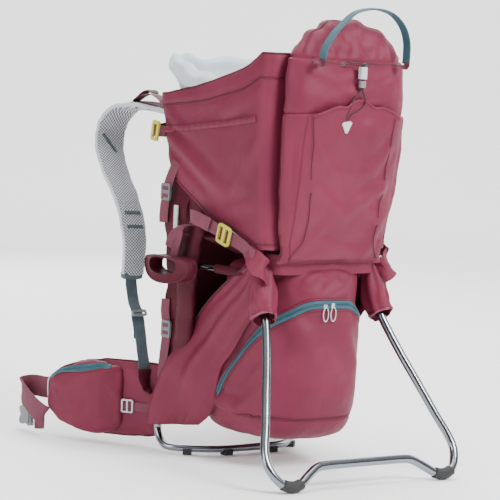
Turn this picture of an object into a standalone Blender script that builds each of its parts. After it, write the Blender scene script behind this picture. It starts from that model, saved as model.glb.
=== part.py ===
"""Framed child carrier backpack: bent tube frame, folding kickstand, child cockpit, pack bags,
shoulder straps and hip belt. Metres, +Z up, +Y towards the wearer, -Y the outer rear side."""
import bpy, bmesh, math
from mathutils import Vector, Matrix

# ---- driving dimensions (metres) ----
Y_REF = -0.0990        # puts the object's box centre over the origin
FRAME_R = 0.0065       # main frame tube radius
STAND_R = 0.0074       # kickstand tube radius
SEAT_R = 0.006         # seat frame tube radius
GAP = 0.0003           # gap between touching pieces
PIVOT = (0.1195, -0.0800, 0.3020)   # kickstand pivot, right side
WALL = 0.006           # cockpit wall
WEB_T = 0.0016         # webbing thickness
FIN_T = 0.018          # hip fin thickness
HANDLE_PIV = (0.0, -0.172, 0.700)
STRAP_PIV = (0.0, 0.222, 0.566)
FIN_PIV = (0.127, 0.176)
STIRRUP_PIV = (0.0, 0.100, 0.392)

for o in list(bpy.data.objects):
    bpy.data.objects.remove(o, do_unlink=True)

OFF = Vector((0.0, Y_REF, 0.0))


def material(name, rgb, rough, metal=0.0):
    m = bpy.data.materials.new(name)
    m.use_nodes = True
    b = m.node_tree.nodes["Principled BSDF"]
    b.inputs["Base Color"].default_value = (rgb[0], rgb[1], rgb[2], 1.0)
    b.inputs["Roughness"].default_value = rough
    b.inputs["Metallic"].default_value = metal
    m.diffuse_color = (rgb[0], rgb[1], rgb[2], 1.0)
    return m


M = {
    "nylon": material("nylon", (0.30, 0.055, 0.095), 0.6),
    "dark_nylon": material("dark_nylon", (0.10, 0.012, 0.025), 0.75),
    "teal": material("teal", (0.04, 0.16, 0.20), 0.6),
    "mesh": material("mesh", (0.55, 0.57, 0.62), 0.85),
    "lining": material("lining", (0.75, 0.79, 0.83), 0.8),
    "slate": material("slate", (0.08, 0.12, 0.15), 0.7),
    "tube": material("tube", (0.75, 0.76, 0.77), 0.25, 1.0),
    "rubber": material("rubber", (0.02, 0.02, 0.02), 0.7),
    "grey": material("grey", (0.25, 0.27, 0.28), 0.45),
    "white": material("white", (0.6, 0.62, 0.63), 0.45),
    "yellow": material("yellow", (0.62, 0.58, 0.12), 0.45),
    "cord": material("cord", (0.06, 0.01, 0.015), 0.7),
}
PARENTS = {}


def joint_empty(name, p):
    e = bpy.data.objects.new(name, None)
    bpy.context.scene.collection.objects.link(e)
    e.location = Vector(p) + OFF
    PARENTS[name] = e
    return e


def finish(name, bm, mat, parent=None, smooth=True, angle=40):
    """Links a bmesh given in design coordinates as an object on its parent's axis."""
    bmesh.ops.recalc_face_normals(bm, faces=bm.faces)
    org = (PARENTS[parent].location - OFF) if parent else Vector((0, 0, 0))
    bmesh.ops.translate(bm, vec=-org if parent else OFF, verts=bm.verts)
    me = bpy.data.meshes.new(name)
    bm.to_mesh(me)
    bm.free()
    ob = bpy.data.objects.new(name, me)
    bpy.context.scene.collection.objects.link(ob)
    me.materials.append(M[mat])
    if parent:
        ob.parent = PARENTS[parent]
    if smooth:
        me.shade_smooth()
        me.set_sharp_from_angle(angle=math.radians(angle))
    return ob


def mx(p):
    return (-p[0],) + tuple(p[1:])


def both(pts):
    """A half path at -x made into a whole one by mirroring it."""
    return list(pts) + [mx(p) for p in reversed(pts) if abs(p[0]) > 1e-6]


def spline(pts, per=4):
    """Catmull-Rom through the given points."""
    P = [Vector(p) for p in pts]
    out = []
    for i in range(len(P) - 1):
        a = P[i - 1] if i > 0 else P[i] * 2 - P[i + 1]
        b, c = P[i], P[i + 1]
        d = P[i + 2] if i + 2 < len(P) else P[i + 1] * 2 - P[i]
        for k in range(per):
            t = k / per
            out.append(0.5 * ((2 * b) + (c - a) * t + (2 * a - 5 * b + 4 * c - d) * t * t
                              + (3 * b - a - 3 * c + d) * t ** 3))
    out.append(P[-1])
    return out


def frames(P, start=None):
    """Parallel-transport frames along a path."""
    T = []
    for i in range(len(P)):
        a = P[max(i - 1, 0)]
        b = P[min(i + 1, len(P) - 1)]
        T.append((b - a).normalized())
    n = Vector(start) if start else T[0].orthogonal()
    n = (n - T[0] * n.dot(T[0])).normalized()
    out = []
    for i, t in enumerate(T):
        if i:
            n = (n - t * n.dot(t)).normalized()
        out.append((t, n, t.cross(n)))
    return out


def cap(bm, ring):
    c = bm.verts.new(sum((v.co for v in ring), Vector()) / len(ring))
    for i in range(len(ring)):
        bm.faces.new((ring[i], ring[(i + 1) % len(ring)], c))


def skin(bm, rings, closed=False):
    n = len(rings[0])
    m = len(rings)
    for j in range(m if closed else m - 1):
        a, b = rings[j], rings[(j + 1) % m]
        for i in range(n):
            k = (i + 1) % n
            bm.faces.new((a[i], a[k], b[k], b[i]))


def loft(name, rings, mat, parent=None, angle=40):
    bm = bmesh.new()
    R = [[bm.verts.new(p) for p in r] for r in rings]
    skin(bm, R)
    cap(bm, R[0])
    cap(bm, R[-1])
    return finish(name, bm, mat, parent, angle=angle)


def tube(name, pts, r, mat, parent=None, n=10, per=4, start=None):
    P = spline(pts, per)
    rings = []
    for p, (t, a, b) in zip(P, frames(P, start)):
        rings.append([p + (a * math.cos(w) + b * math.sin(w)) * r
                      for w in (2 * math.pi * k / n for k in range(n))])
    return loft(name, rings, mat, parent)


def sleeve(name, pts, rin, rout, mat, parent=None, n=10, per=3, start=None, part=(0, None)):
    """A sleeve around part of a path: an open tube with a wall."""
    P = spline(pts, per)
    bm = bmesh.new()
    outer, inner = [], []
    for p, (t, a, b) in list(zip(P, frames(P, start)))[part[0]:part[1]]:
        ws = [2 * math.pi * k / n for k in range(n)]
        outer.append([bm.verts.new(p + (a * math.cos(w) + b * math.sin(w)) * rout) for w in ws])
        inner.append([bm.verts.new(p + (a * math.cos(w) + b * math.sin(w)) * rin) for w in ws])
    skin(bm, outer + inner[::-1], closed=True)
    return finish(name, bm, mat, parent)


def ribbon(name, pts, widths, dirs, thick, mat, parent=None, per=4):
    """A flat band along a path; widths and the direction of its width are given at each point."""
    n = len(pts)
    W = widths if isinstance(widths, (list, tuple)) else [widths] * n
    D = dirs if isinstance(dirs[0], (list, tuple)) else [dirs] * n
    P = spline(pts, per)
    rings = []
    for i, p in enumerate(P):
        f = min(i / per, n - 1)
        j = min(int(f), n - 2)
        u = f - j
        w = W[j] * (1 - u) + W[j + 1] * u
        d = Vector(D[j]) * (1 - u) + Vector(D[j + 1]) * u
        t = (P[min(i + 1, len(P) - 1)] - P[max(i - 1, 0)]).normalized()
        d = (d - t * d.dot(t)).normalized()
        nn = t.cross(d)
        h = thick / 2
        e = min(h, 0.3 * thick)
        rings.append([p + d * (w / 2) + nn * (h - e), p + d * (w / 2 - e) + nn * h,
                      p - d * (w / 2 - e) + nn * h, p - d * (w / 2) + nn * (h - e),
                      p - d * (w / 2) - nn * (h - e), p - d * (w / 2 - e) - nn * h,
                      p + d * (w / 2 - e) - nn * h, p + d * (w / 2) - nn * (h - e)])
    return loft(name, rings, mat, parent, angle=50)


def block(name, lo, hi, mat, parent=None, bevel=0.0):
    bm = bmesh.new()
    bmesh.ops.create_cube(bm, size=1.0)
    for v in bm.verts:
        v.co = Vector([lo[i] + (hi[i] - lo[i]) * (v.co[i] + 0.5) for i in range(3)])
    if bevel:
        bmesh.ops.bevel(bm, geom=bm.edges[:], offset=bevel, segments=2, affect='EDGES')
    return finish(name, bm, mat, parent)


def rod(name, a, b, r, mat, parent=None, n=12):
    return tube(name, [a, b], r, mat, parent, n=n, per=1)


def plate(name, outline, holes, centre, ux, uy, thick, mat, parent=None, bevel=0.0):
    """A flat plate with through holes, drawn in its own plane (ux, uy) and given a thickness."""
    ux, uy = Vector(ux).normalized(), Vector(uy).normalized()
    nn = ux.cross(uy)
    c = Vector(centre)
    bm = bmesh.new()
    loops = []
    for pl in [outline] + holes:
        vs = [bm.verts.new((x, y, 0)) for x, y in pl]
        for i in range(len(vs)):
            loops.append(bm.edges.new((vs[i], vs[(i + 1) % len(vs)])))
    bmesh.ops.triangle_fill(bm, use_beauty=True, use_dissolve=False, edges=loops)
    faces = bm.faces[:]
    r = bmesh.ops.extrude_face_region(bm, geom=faces)
    up = [g for g in r["geom"] if isinstance(g, bmesh.types.BMVert)]
    for v in up:
        v.co.z = 1.0
    for v in bm.verts:
        z = (v.co.z - 0.5) * thick
        v.co = c + ux * v.co.x + uy * v.co.y + nn * z
    return finish(name, bm, mat, parent, smooth=True, angle=30)


def rect(w, h, cx=0.0, cy=0.0, r=0.0, k=3):
    if r <= 0:
        return [(cx - w / 2, cy - h / 2), (cx + w / 2, cy - h / 2), (cx + w / 2, cy + h / 2), (cx - w / 2, cy + h / 2)]
    out = []
    for sx, sy, a0 in ((1, 1, 0), (-1, 1, 90), (-1, -1, 180), (1, -1, 270)):
        for j in range(k):
            a = math.radians(a0 + 90 * j / (k - 1))
            out.append((cx + sx * (w / 2 - r) + r * math.cos(a), cy + sy * (h / 2 - r) + r * math.sin(a)))
    return out


def lerp_table(tab, x):
    tab = sorted(tab)
    if x <= tab[0][0]:
        return tab[0][1]
    for (a, va), (b, vb) in zip(tab, tab[1:]):
        if x <= b:
            return va + (vb - va) * (x - a) / (b - a)
    return tab[-1][1]


def oval(hw, y0, y1, z, n=28, p=3.4, hw_front=None):
    """A squarish oval ring at height z; hw_front widens the side nearest y1."""
    out = []
    for k in range(n):
        a = 2 * math.pi * k / n
        c, s = math.cos(a), math.sin(a)
        x = math.copysign(abs(c) ** (2 / p), c)
        y = math.copysign(abs(s) ** (2 / p), s)
        yy = (y0 + y1) / 2 + y * (y1 - y0) / 2
        w = hw
        if hw_front is not None:
            w = hw + (hw_front - hw) * (y + 1) / 2
        out.append((x * w, yy, z))
    return out


# ================= joints' parent empties =================
joint_empty("stand_axis", (0.0, PIVOT[1], PIVOT[2]))
joint_empty("handle_axis", HANDLE_PIV)
for side, s in (("left", -1), ("right", 1)):
    joint_empty("fin_axis_" + side, (s * FIN_PIV[0], FIN_PIV[1], 0.10))
    joint_empty("strap_axis_" + side, (0.0, STRAP_PIV[1], STRAP_PIV[2]))
    joint_empty("stirrup_axis_" + side, (s * 0.166, STIRRUP_PIV[1], STIRRUP_PIV[2]))

# ================= frame tubes =================
half_main = [(-0.1200, 0.104, 0.575), (-0.1212, 0.104, 0.520), (-0.1225, 0.1035, 0.450), (-0.1235, 0.103, 0.418),
             (-0.1300, 0.102, 0.388), (-0.1365, 0.1010, 0.352), (-0.140, 0.1011, 0.274), (-0.140, 0.1084, 0.186),
             (-0.140, 0.1336, 0.0944), (-0.140, 0.166, 0.062), (-0.140, 0.1745, 0.043),
             (-0.140, 0.1660, 0.0240), (-0.139, 0.149, 0.0125), (-0.128, 0.131, 0.0106),
             (-0.096, 0.105, 0.0105), (-0.065, 0.0905, 0.0105), (-0.030, 0.0875, 0.0105)]
main_path = both(half_main)
tube("main_frame_tube", main_path, FRAME_R, "tube", n=10, per=2, start=(0, 1, 0))
rod("upper_cross_tube", (-0.1133, 0.104, 0.562), (0.1133, 0.104, 0.562), 0.005, "tube")
half_seat = [(-0.1285, 0.0840, 0.335), (-0.1270, 0.040, 0.335), (-0.1230, -0.020, 0.335),
             (-0.112, -0.058, 0.3355), (-0.085, -0.073, 0.336), (-0.040, -0.076, 0.336)]
tube("seat_frame_tube", both(half_seat), SEAT_R, "tube", n=10, per=2, start=(0, 0, 1))


def foot_clip(name, x_at):
    """A small clip foot: a saddle under the tube, flat at z = 0, square to the tube where it sits."""
    P = spline(main_path, 6)
    k = min(range(2, len(P) - 2), key=lambda q: (abs(P[q].x - x_at) if P[q].z < 0.02 else 9))
    c = P[k]
    t = (P[k + 1] - P[k - 1])
    t.z = 0
    t.normalize()
    side = Vector((t.y, -t.x, 0))
    r = FRAME_R + 2 * GAP
    prof = []
    for q in range(9):
        w = math.radians(180 + 22.5 * q)
        prof.append((r * math.cos(w) * 1.02, c.z + r * math.sin(w) * 1.02))
    prof = [(-0.0098, c.z)] + prof + [(0.0098, c.z)]
    base = [(x * 0.94, 0.0) for x, z in prof]
    bm = bmesh.new()
    top, bot = [], []
    for y in (-0.0075, 0.0075):
        for rows, pts in ((top, prof), (bot, base)):
            rows.append([bm.verts.new((c.x + side.x * x + t.x * y, c.y + side.y * x + t.y * y, z)) for x, z in pts])
    for i in range(len(prof) - 1):
        bm.faces.new((top[0][i], top[0][i + 1], top[1][i + 1], top[1][i]))
        bm.faces.new((bot[0][i], bot[1][i], bot[1][i + 1], bot[0][i + 1]))
        for k in (0, 1):
            bm.faces.new((top[k][i], bot[k][i], bot[k][i + 1], top[k][i + 1]))
    for i in (0, -1):
        bm.faces.new((top[0][i], top[1][i], bot[1][i], bot[0][i]))
    return finish(name, bm, "rubber", angle=30)


for side, s in (("left", -1), ("right", 1)):
    foot_clip("base_foot_outer_" + side, s * 0.112)
    foot_clip("base_foot_inner_" + side, s * 0.0475)

# ================= kickstand =================
K = 0.5605          # rearward lean of the stand's plane: y per z
half_stand = [(-0.1175, -0.0757, 0.3120), (-0.1233, -0.0915, 0.2819), (-0.1300, -0.1096, 0.2496),
              (-0.1464, -0.1371, 0.2005), (-0.1654, -0.1642, 0.1522), (-0.1836, -0.1909, 0.1045),
              (-0.1985, -0.2107, 0.0692), (-0.2020, -0.2227, 0.0478), (-0.1945, -0.2340, 0.0281),
              (-0.1805, -0.2415, 0.0145), (-0.1630, -0.2440, 0.0100), (-0.1450, -0.2422, 0.0132),
              (-0.1230, -0.2352, 0.0257), (-0.1030, -0.2297, 0.0354), (-0.0850, -0.2283, 0.0380),
              (-0.0400, -0.2281, 0.0384)]
stand = tube("kickstand_tube", both(half_stand), STAND_R, "tube", parent="stand_axis", n=10, per=2, start=(0, 1, 0))
for side, s in (("left", -1), ("right", 1)):
    p = half_stand if s < 0 else [mx(a) for a in half_stand]
    sleeve("kickstand_foot_" + side, p, STAND_R + GAP, 0.0099, "rubber", parent="stand_axis", n=10, per=2, start=(0, 1, 0), part=(18, 23))
    x0, y0, z0 = s * PIVOT[0], PIVOT[1], PIVOT[2]
    # bracket: an upside down channel over the tube's end
    bm = bmesh.new()
    i, w, h = 0.0107, 0.0131, 0.0262
    prof = [(-w, -0.010), (-w, h), (w, h), (w, -0.010), (i, -0.010), (i, h - 0.003), (-i, h - 0.003), (-i, -0.010)]
    rings = [[bm.verts.new((x0 + a, y, z0 + b)) for a, b in prof] for y in (y0 - 0.011, y0 + 0.013)]
    skin(bm, rings)
    for r in rings:
        bm.faces.new(r)
    bmesh.ops.triangulate(bm, faces=[f for f in bm.faces if len(f.verts) > 4])
    br = finish("hinge_bracket_" + side, bm, "grey", angle=30)
    rod("hinge_pin_" + side, (x0 - 0.0150, y0, z0), (x0 + 0.0150, y0, z0), 0.0030, "grey")
    cut = rod("cut_" + side, (x0 - 0.02, y0, z0), (x0 + 0.02, y0, z0), 0.0033, "grey", n=12)
    cut.hide_render = True
    cut.display_type = 'WIRE'
    for ob in (br, stand):
        m = ob.modifiers.new("pin_hole_" + side, 'BOOLEAN')
        m.operation = 'DIFFERENCE'
        m.solver = 'EXACT'
        m.object = cut

# ================= cockpit for the child =================
RIM = [(-0.10, 0.697), (-0.0534, 0.680), (-0.0264, 0.672), (0.0148, 0.6615), (0.0567, 0.6508), (0.0993, 0.6417), (0.205, 0.6235)]
HEM = [(-0.10, 0.381), (-0.07, 0.391), (0.004, 0.409), (0.079, 0.422), (0.120, 0.441), (0.205, 0.478)]


CORNER = 0.024


def cockpit_ring(t, inset):
    """A rounded rectangle in plan, between the hem (t = 0) and the rim (t = 1)."""
    out = []
    r = CORNER - inset
    plan = []
    for sx, sy, a0 in ((1, 1, 0), (-1, 1, 90), (-1, -1, 180), (1, -1, 270)):
        for k in range(5):
            a = math.radians(a0 + 22.5 * k)
            plan.append((sx, sy, math.cos(a), math.sin(a)))
        nx, ny = {(1, 1): (-1, 1), (-1, 1): (-1, -1), (-1, -1): (1, -1), (1, -1): (1, 1)}[(sx, sy)]
        for k in (0.2, 0.4, 0.6, 0.8):
            if nx != sx:
                plan.append((sx + (nx - sx) * k, sy, 0.0, float(sy)))
            else:
                plan.append((sx, sy + (ny - sy) * k, float(sx), 0.0))
    for px, py, cx, cy in plan:
        yn = (py + 1) / 2
        yr = -0.100 + yn * 0.305
        z = lerp_table(HEM, yr) * (1 - t) + lerp_table(RIM, yr) * t
        front = lerp_table([(0.40, 0.170), (0.474, 0.180), (0.6235, 0.210)], z)
        hw = lerp_table([(0.38, 0.136), (0.46, 0.141), (0.62, 0.149), (0.697, 0.142)], z)
        x = px * (hw - inset - r) + cx * r
        yc = (-0.100 + inset + r) + yn * (front + 0.100 - 2 * inset - 2 * r)
        out.append((x, yc + cy * r, z))
    return out


bm = bmesh.new()
lev = (0.0, 0.2, 0.4, 0.6, 0.8, 1.0)
outer = [[bm.verts.new(p) for p in cockpit_ring(t, 0.0)] for t in lev]
inner = [[bm.verts.new(p) for p in cockpit_ring(t, WALL)] for t in lev]
skin(bm, outer + inner[::-1], closed=True)
finish("cockpit_shell", bm, "nylon")

# chin pad: a U-shaped cushion inside the front of the cockpit
bm = bmesh.new()
rings = []
front_in = 0.2045 - WALL - 0.0012
path = []
for x, y in ((-0.1285, 0.020), (-0.1290, 0.060), (-0.1295, 0.100), (-0.1290, 0.138), (-0.1250, 0.166),
             (-0.112, 0.181), (-0.088, 0.1865), (-0.04, 0.1875)):
    path.append((x, y))
path = path + [(-x, y) for x, y in reversed(path)]
for i, (x, y) in enumerate(path):
    a, b = path[max(i - 1, 0)], path[min(i + 1, len(path) - 1)]
    t = Vector((b[0] - a[0], b[1] - a[1], 0)).normalized()
    nrm = Vector((t.y, -t.x, 0))
    top = lerp_table([(0.020, 0.664), (0.060, 0.668), (0.100, 0.676), (0.138, 0.688), (0.166, 0.695), (0.181, 0.694), (0.1875, 0.683)], y)
    bot = 0.582
    h = 0.0065
    ring = []
    for u, v in ((-1, 0.03), (-1, 0.5), (-1, 0.93), (-0.5, 1.0), (0.5, 1.0), (1, 0.93), (1, 0.5), (1, 0.03), (0.5, 0.0), (-0.5, 0.0)):
        q = Vector((x, y, 0)) + nrm * (u * h)
        ring.append(bm.verts.new((q.x, q.y, bot + (top - bot) * v)))
    rings.append(ring)
skin(bm, rings)
cap(bm, rings[0])
cap(bm, rings[-1])
finish("chin_pad", bm, "lining")

block("seat_pad", (-0.085, -0.045, 0.378), (0.085, 0.100, 0.396), "lining", bevel=0.006)
block("child_back_pad", (-0.070, -0.0885, 0.425), (0.070, -0.078, 0.630), "lining", bevel=0.004)
block("harness_buckle", (-0.028, -0.0745, 0.440), (0.028, -0.0625, 0.4675), "grey", bevel=0.003)

# ================= bags =================
def bag(name, table, mat, n=28, p=3.4):
    rings = [oval(hw, y0, y1, z, n, p, hf) for z, y0, y1, hw, hf in table]
    return loft(name, rings, mat, angle=55)


bag("upper_rear_pocket", [(0.3460, -0.099, -0.1043, 0.094, 0.118), (0.353, -0.108, -0.1042, 0.100, 0.124),
                          (0.40, -0.120, -0.1042, 0.103, 0.130), (0.47, -0.137, -0.1042, 0.106, 0.136), (0.54, -0.150, -0.1042, 0.107, 0.140),
                          (0.600, -0.161, -0.1042, 0.108, 0.141), (0.6110, -0.162, -0.1042, 0.107, 0.140)][1:], "nylon", n=28, p=5.0)
bag("sun_roof_pocket", [(0.6114, -0.160, -0.1042, 0.107, 0.138), (0.650, -0.157, -0.1042, 0.105, 0.130),
                        (0.692, -0.153, -0.1042, 0.103, 0.112), (0.708, -0.149, -0.1040, 0.096, 0.103),
                        (0.735, -0.140, -0.1000, 0.083, 0.088), (0.756, -0.133, -0.1000, 0.058, 0.062),
                        (0.768, -0.124, -0.1080, 0.028, 0.030)], "nylon", n=28, p=3.6)
bag("lower_bag", [(0.056, -0.078, 0.070, 0.070, 0.085), (0.064, -0.095, 0.092, 0.084, 0.105),
                  (0.085, -0.108, 0.104, 0.092, 0.118), (0.13, -0.117, 0.108, 0.0965, 0.122),
                  (0.20, -0.121, 0.108, 0.098, 0.121), (0.262, -0.121, 0.106, 0.098, 0.116),
                  (0.282, -0.121, 0.100, 0.090, 0.108), (0.315, -0.120, 0.095, 0.088, 0.105),
                  (0.3275, -0.114, 0.085, 0.080, 0.095)], "nylon", n=28, p=3.2)

# side drapes: sheets from the hinge to the uprights
for side, s in (("left", -1), ("right", 1)):
    out = [(-0.036, 0.318), (-0.003, 0.322), (0.040, 0.297), (0.075, 0.262), (0.098, 0.232), (0.108, 0.200), (0.112, 0.160), (0.112, 0.110),
           (0.098, 0.085), (0.060, 0.077), (0.020, 0.100), (-0.010, 0.165), (-0.032, 0.255)]
    bm = bmesh.new()
    rings = []
    for e in (0.0, 0.0035):
        ring = []
        for y, z in out:
            x = lerp_table([(-0.04, 0.1165), (0.03, 0.1185), (0.112, 0.1262)], y)
            ring.append(bm.verts.new((s * (x + e), y, z)))
        rings.append(ring)
    skin(bm, rings)
    for r in rings:
        bm.faces.new(r)
    bmesh.ops.triangulate(bm, faces=[f for f in bm.faces if len(f.verts) > 4])
    finish("side_drape_" + side, bm, "nylon", angle=30)

# ================= back system =================
block("back_board", (-0.112, 0.1175, 0.215), (0.112, 0.1225, 0.425), "dark_nylon", bevel=0.0015)
block("back_pad_upper", (-0.120, 0.128, 0.330), (0.120, 0.158, 0.452), "mesh", bevel=0.011)
block("lumbar_pad", (-0.122, 0.128, 0.170), (0.122, 0.176, 0.300), "mesh", bevel=0.016)
for side, s in (("left", -1), ("right", 1)):
    plate("ladder_lock_upper_" + side, rect(0.026, 0.030, r=0.004), [rect(0.018, 0.007, 0, 0.0065), rect(0.018, 0.007, 0, -0.0065)],
          (s * 0.1500, 0.168, 0.456), (0, 1, 0), (0, 0, 1), 0.004, "grey")
    plate("ladder_lock_lower_" + side, rect(0.026, 0.030, r=0.004), [rect(0.018, 0.007, 0, 0.0065), rect(0.018, 0.007, 0, -0.0065)],
          (s * 0.1485, 0.150, 0.218), (0, 1, 0), (0, 0, 1), 0.004, "grey")
    # side entry strap and its buckle
    ribbon("side_entry_strap_" + side, [(s * 0.1545, 0.070, 0.418), (s * 0.1535, 0.040, 0.413), (s * 0.1505, -0.010, 0.399),
                                        (s * 0.1465, -0.050, 0.386), (s * 0.1455, -0.085, 0.370)],
           0.020, (0, 0.25, 1), WEB_T, "nylon", per=3)
    plate("side_buckle_" + side, rect(0.036, 0.034, r=0.006), [rect(0.010, 0.024, -0.0085, 0), rect(0.010, 0.024, 0.0085, 0)],
          (s * 0.1548, -0.012, 0.3985), (0, 1, 0.26), (0, -0.26, 1), 0.0035, "yellow")
    # foot stirrup
    hang = ribbon("stirrup_hang_" + side, [(s * 0.166, 0.098, 0.394), (s * 0.1665, 0.103, 0.372), (s * 0.167, 0.106, 0.3462)],
                  0.020, (0, 1, 0), 0.0022, "dark_nylon", parent="stirrup_axis_" + side, per=3)
    hang.hide_render = True
    hang.display_type = 'WIRE'
    bm = bmesh.new()
    o_, i_ = [], []
    for y, zc, hw, hh in ((0.052, 0.3230, 0.0115, 0.0190), (0.080, 0.3230, 0.0145, 0.0235), (0.115, 0.3235, 0.0150, 0.0245),
                          (0.150, 0.3230, 0.0125, 0.0200), (0.180, 0.3230, 0.0080, 0.0120)):
        for lst, w, h in ((o_, hw, hh), (i_, hw - 0.0025, hh - 0.0025)):
            lst.append([bm.verts.new((s * 0.167 + w * math.cos(a), y, zc + h * math.sin(a)))
                        for a in (2 * math.pi * k / 16 for k in range(16))])
    skin(bm, o_ + i_[::-1], closed=True)
    st = finish("stirrup_" + side, bm, "dark_nylon", parent="stirrup_axis_" + side)
    m = st.modifiers.new("hanger", 'BOOLEAN')
    m.operation = 'UNION'
    m.solver = 'EXACT'
    m.object = hang

# ================= shoulder straps =================
strap_half = [(-0.055, 0.2225, 0.566), (-0.066, 0.262, 0.588), (-0.080, 0.304, 0.597), (-0.092, 0.339, 0.597),
              (-0.104, 0.369, 0.589), (-0.115, 0.387, 0.568), (-0.122, 0.391, 0.540), (-0.128, 0.379, 0.508),
              (-0.132, 0.352, 0.474), (-0.135, 0.318, 0.440), (-0.137, 0.291, 0.405), (-0.139, 0.274, 0.365),
              (-0.141, 0.270, 0.330), (-0.142, 0.272, 0.296)]
web_half = [(-0.142, 0.2735, 0.292), (-0.143, 0.262, 0.255), (-0.146, 0.240, 0.2275), (-0.149, 0.224, 0.190),
            (-0.152, 0.211, 0.162)]
for side, s in (("left", -1), ("right", 1)):
    f = lambda P: [(s * abs(a[0]), a[1], a[2]) for a in P]
    n = len(strap_half)
    D = [(1, 0, 0)] * n
    W = [0.046, 0.052, 0.056, 0.058, 0.060, 0.062, 0.062, 0.061, 0.059, 0.056, 0.054, 0.053, 0.052, 0.044]
    ribbon("shoulder_strap_" + side, f(strap_half), W, D, 0.012, "mesh", parent="strap_axis_" + side, per=2)
    ribbon("strap_webbing_" + side, f(web_half), 0.024, [(1, 0, 0), (1, 0, 0), (1, -0.3 * -s, 0), (0.8, -0.5 * -s, 0), (0.5, -0.85 * -s, 0)],
           WEB_T, "slate", parent="strap_axis_" + side, per=3)
    plate("strap_adjuster_" + side, rect(0.030, 0.012, r=0.003), [rect(0.024, 0.003, 0, 0)],
          (s * 0.1455, 0.2375, 0.2345), (1, 0, 0), (0, -0.45, -0.9), 0.003, "grey", parent="strap_axis_" + side)
    # side compression buckle on the cockpit's front edge
    plate("corner_buckle_" + side, rect(0.020, 0.036, r=0.004), [rect(0.0085, 0.024, 0, 0)],
          (s * 0.1535, 0.204, 0.560), (0, 1, 0.15), (0, -0.15, 1), 0.004, "yellow")

# ================= hip belt =================
fin_path = [(-0.127, 0.180), (-0.136, 0.208), (-0.152, 0.245), (-0.174, 0.285), (-0.198, 0.325), (-0.220, 0.358), (-0.236, 0.384)]
fin_z0 = [0.022, 0.016, 0.011, 0.010, 0.018, 0.030, 0.050]
fin_z1 = [0.150, 0.152, 0.153, 0.151, 0.143, 0.128, 0.104]


def slab(name, path, z0, z1, half, mat, parent, s, bulge=None, per=3):
    """An upright padded slab along a plan path; bulge swells its outer side, as the zip pocket does."""
    P = spline([(a, b, 0) for a, b in path], per)
    n = len(path)
    rings = []
    for i, p in enumerate(P):
        fpos = min(i / per, n - 1)
        j = min(int(fpos), n - 2)
        u = fpos - j
        a0 = z0[j] * (1 - u) + z0[j + 1] * u
        a1 = z1[j] * (1 - u) + z1[j + 1] * u
        hh = half[j] * (1 - u) + half[j + 1] * u
        t = (P[min(i + 1, len(P) - 1)] - P[max(i - 1, 0)]).normalized()
        nn = Vector((-t.y, t.x, 0))          # to the outer side for a path at -x
        ring = []
        for k in range(12):
            a = 2 * math.pi * k / 12
            c, q = math.cos(a), math.sin(a)
            c = math.copysign(abs(c) ** 0.7, c)
            q = math.copysign(abs(q) ** 0.55, q)
            bl = 0.0
            if c > 0.3 and bulge:
                bl = bulge[j] * (1 - u) + bulge[j + 1] * u
                bl *= max(0.0, 1 - abs(q) ** 6 * 0.9)
            w = p + nn * (c * hh + bl)
            ring.append((w.x if s < 0 else -w.x, w.y, (a0 + a1) / 2 + q * (a1 - a0) / 2))
        rings.append(ring)
    return loft(name, rings, mat, parent, angle=60)


for side, s in (("left", -1), ("right", 1)):
    ax = "fin_axis_" + side
    slab("hip_fin_" + side, fin_path, fin_z0, fin_z1, [0.006, 0.009, 0.009, 0.009, 0.009, 0.008, 0.005], "nylon", ax, s,
         bulge=[0.0, 0.0, 0.008, 0.024, 0.028, 0.020, 0.003])
    g = lambda P: [(s * abs(a[0]), a[1], a[2]) for a in P]
    ribbon("belt_webbing_" + side, g([(-0.2375, 0.3905, 0.084), (-0.2385, 0.418, 0.083), (-0.2405, 0.438, 0.080),
                                      (-0.2480, 0.446, 0.076), (-0.2560, 0.436, 0.070), (-0.2605, 0.412, 0.060),
                                      (-0.2620, 0.388, 0.050), (-0.2590, 0.368, 0.040), (-0.2520, 0.366, 0.033), (-0.2480, 0.385, 0.0285), (-0.2490, 0.402, 0.0260)]),
           0.040, (0, 0, 1), WEB_T, "nylon", parent=ax, per=3)
    joint_empty("buckle_axis_" + side, (s * 0.2490, 0.4050, 0.0270))
    if side == "left":
        out = []
        for k in range(24):
            a = 2 * math.pi * k / 24
            r = 0.0215 + 0.0055 * math.cos(4 * (a - math.pi / 4))
            out.append((0.026 + r * math.cos(a), 0.82 * r * math.sin(a)))
    else:
        out = rect(0.046, 0.040, 0.0255, 0, r=0.008)
    plate("belt_buckle_" + side, out, [rect(0.005, 0.024, 0.0135, 0)], (s * 0.2490, 0.4035, 0.0265), (0, 1, 0), (0, 0, 1), 0.006,
          "grey", parent="buckle_axis_" + side)

# ================= handle =================
ribbon("top_handle", [(x, HANDLE_PIV[1], z) for x, z in (
    (-0.0900, 0.701), (-0.0880, 0.719), (-0.0710, 0.745), (-0.0500, 0.765), (-0.0280, 0.7815), (0.0010, 0.7888), (0.0300, 0.7885),
    (0.0570, 0.7800), (0.0780, 0.7610), (0.0880, 0.7380), (0.0895, 0.715), (0.0890, 0.701))],
    0.018, (0, 1, 0), 0.003, "teal", parent="handle_axis", per=2)

# ================= zips, cord and small fittings =================
def on_bag(z):
    """Rear face of the lower bag."""
    return lerp_table([(0.085, -0.118), (0.13, -0.127), (0.20, -0.131), (0.262, -0.128), (0.315, -0.121)], z)


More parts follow.
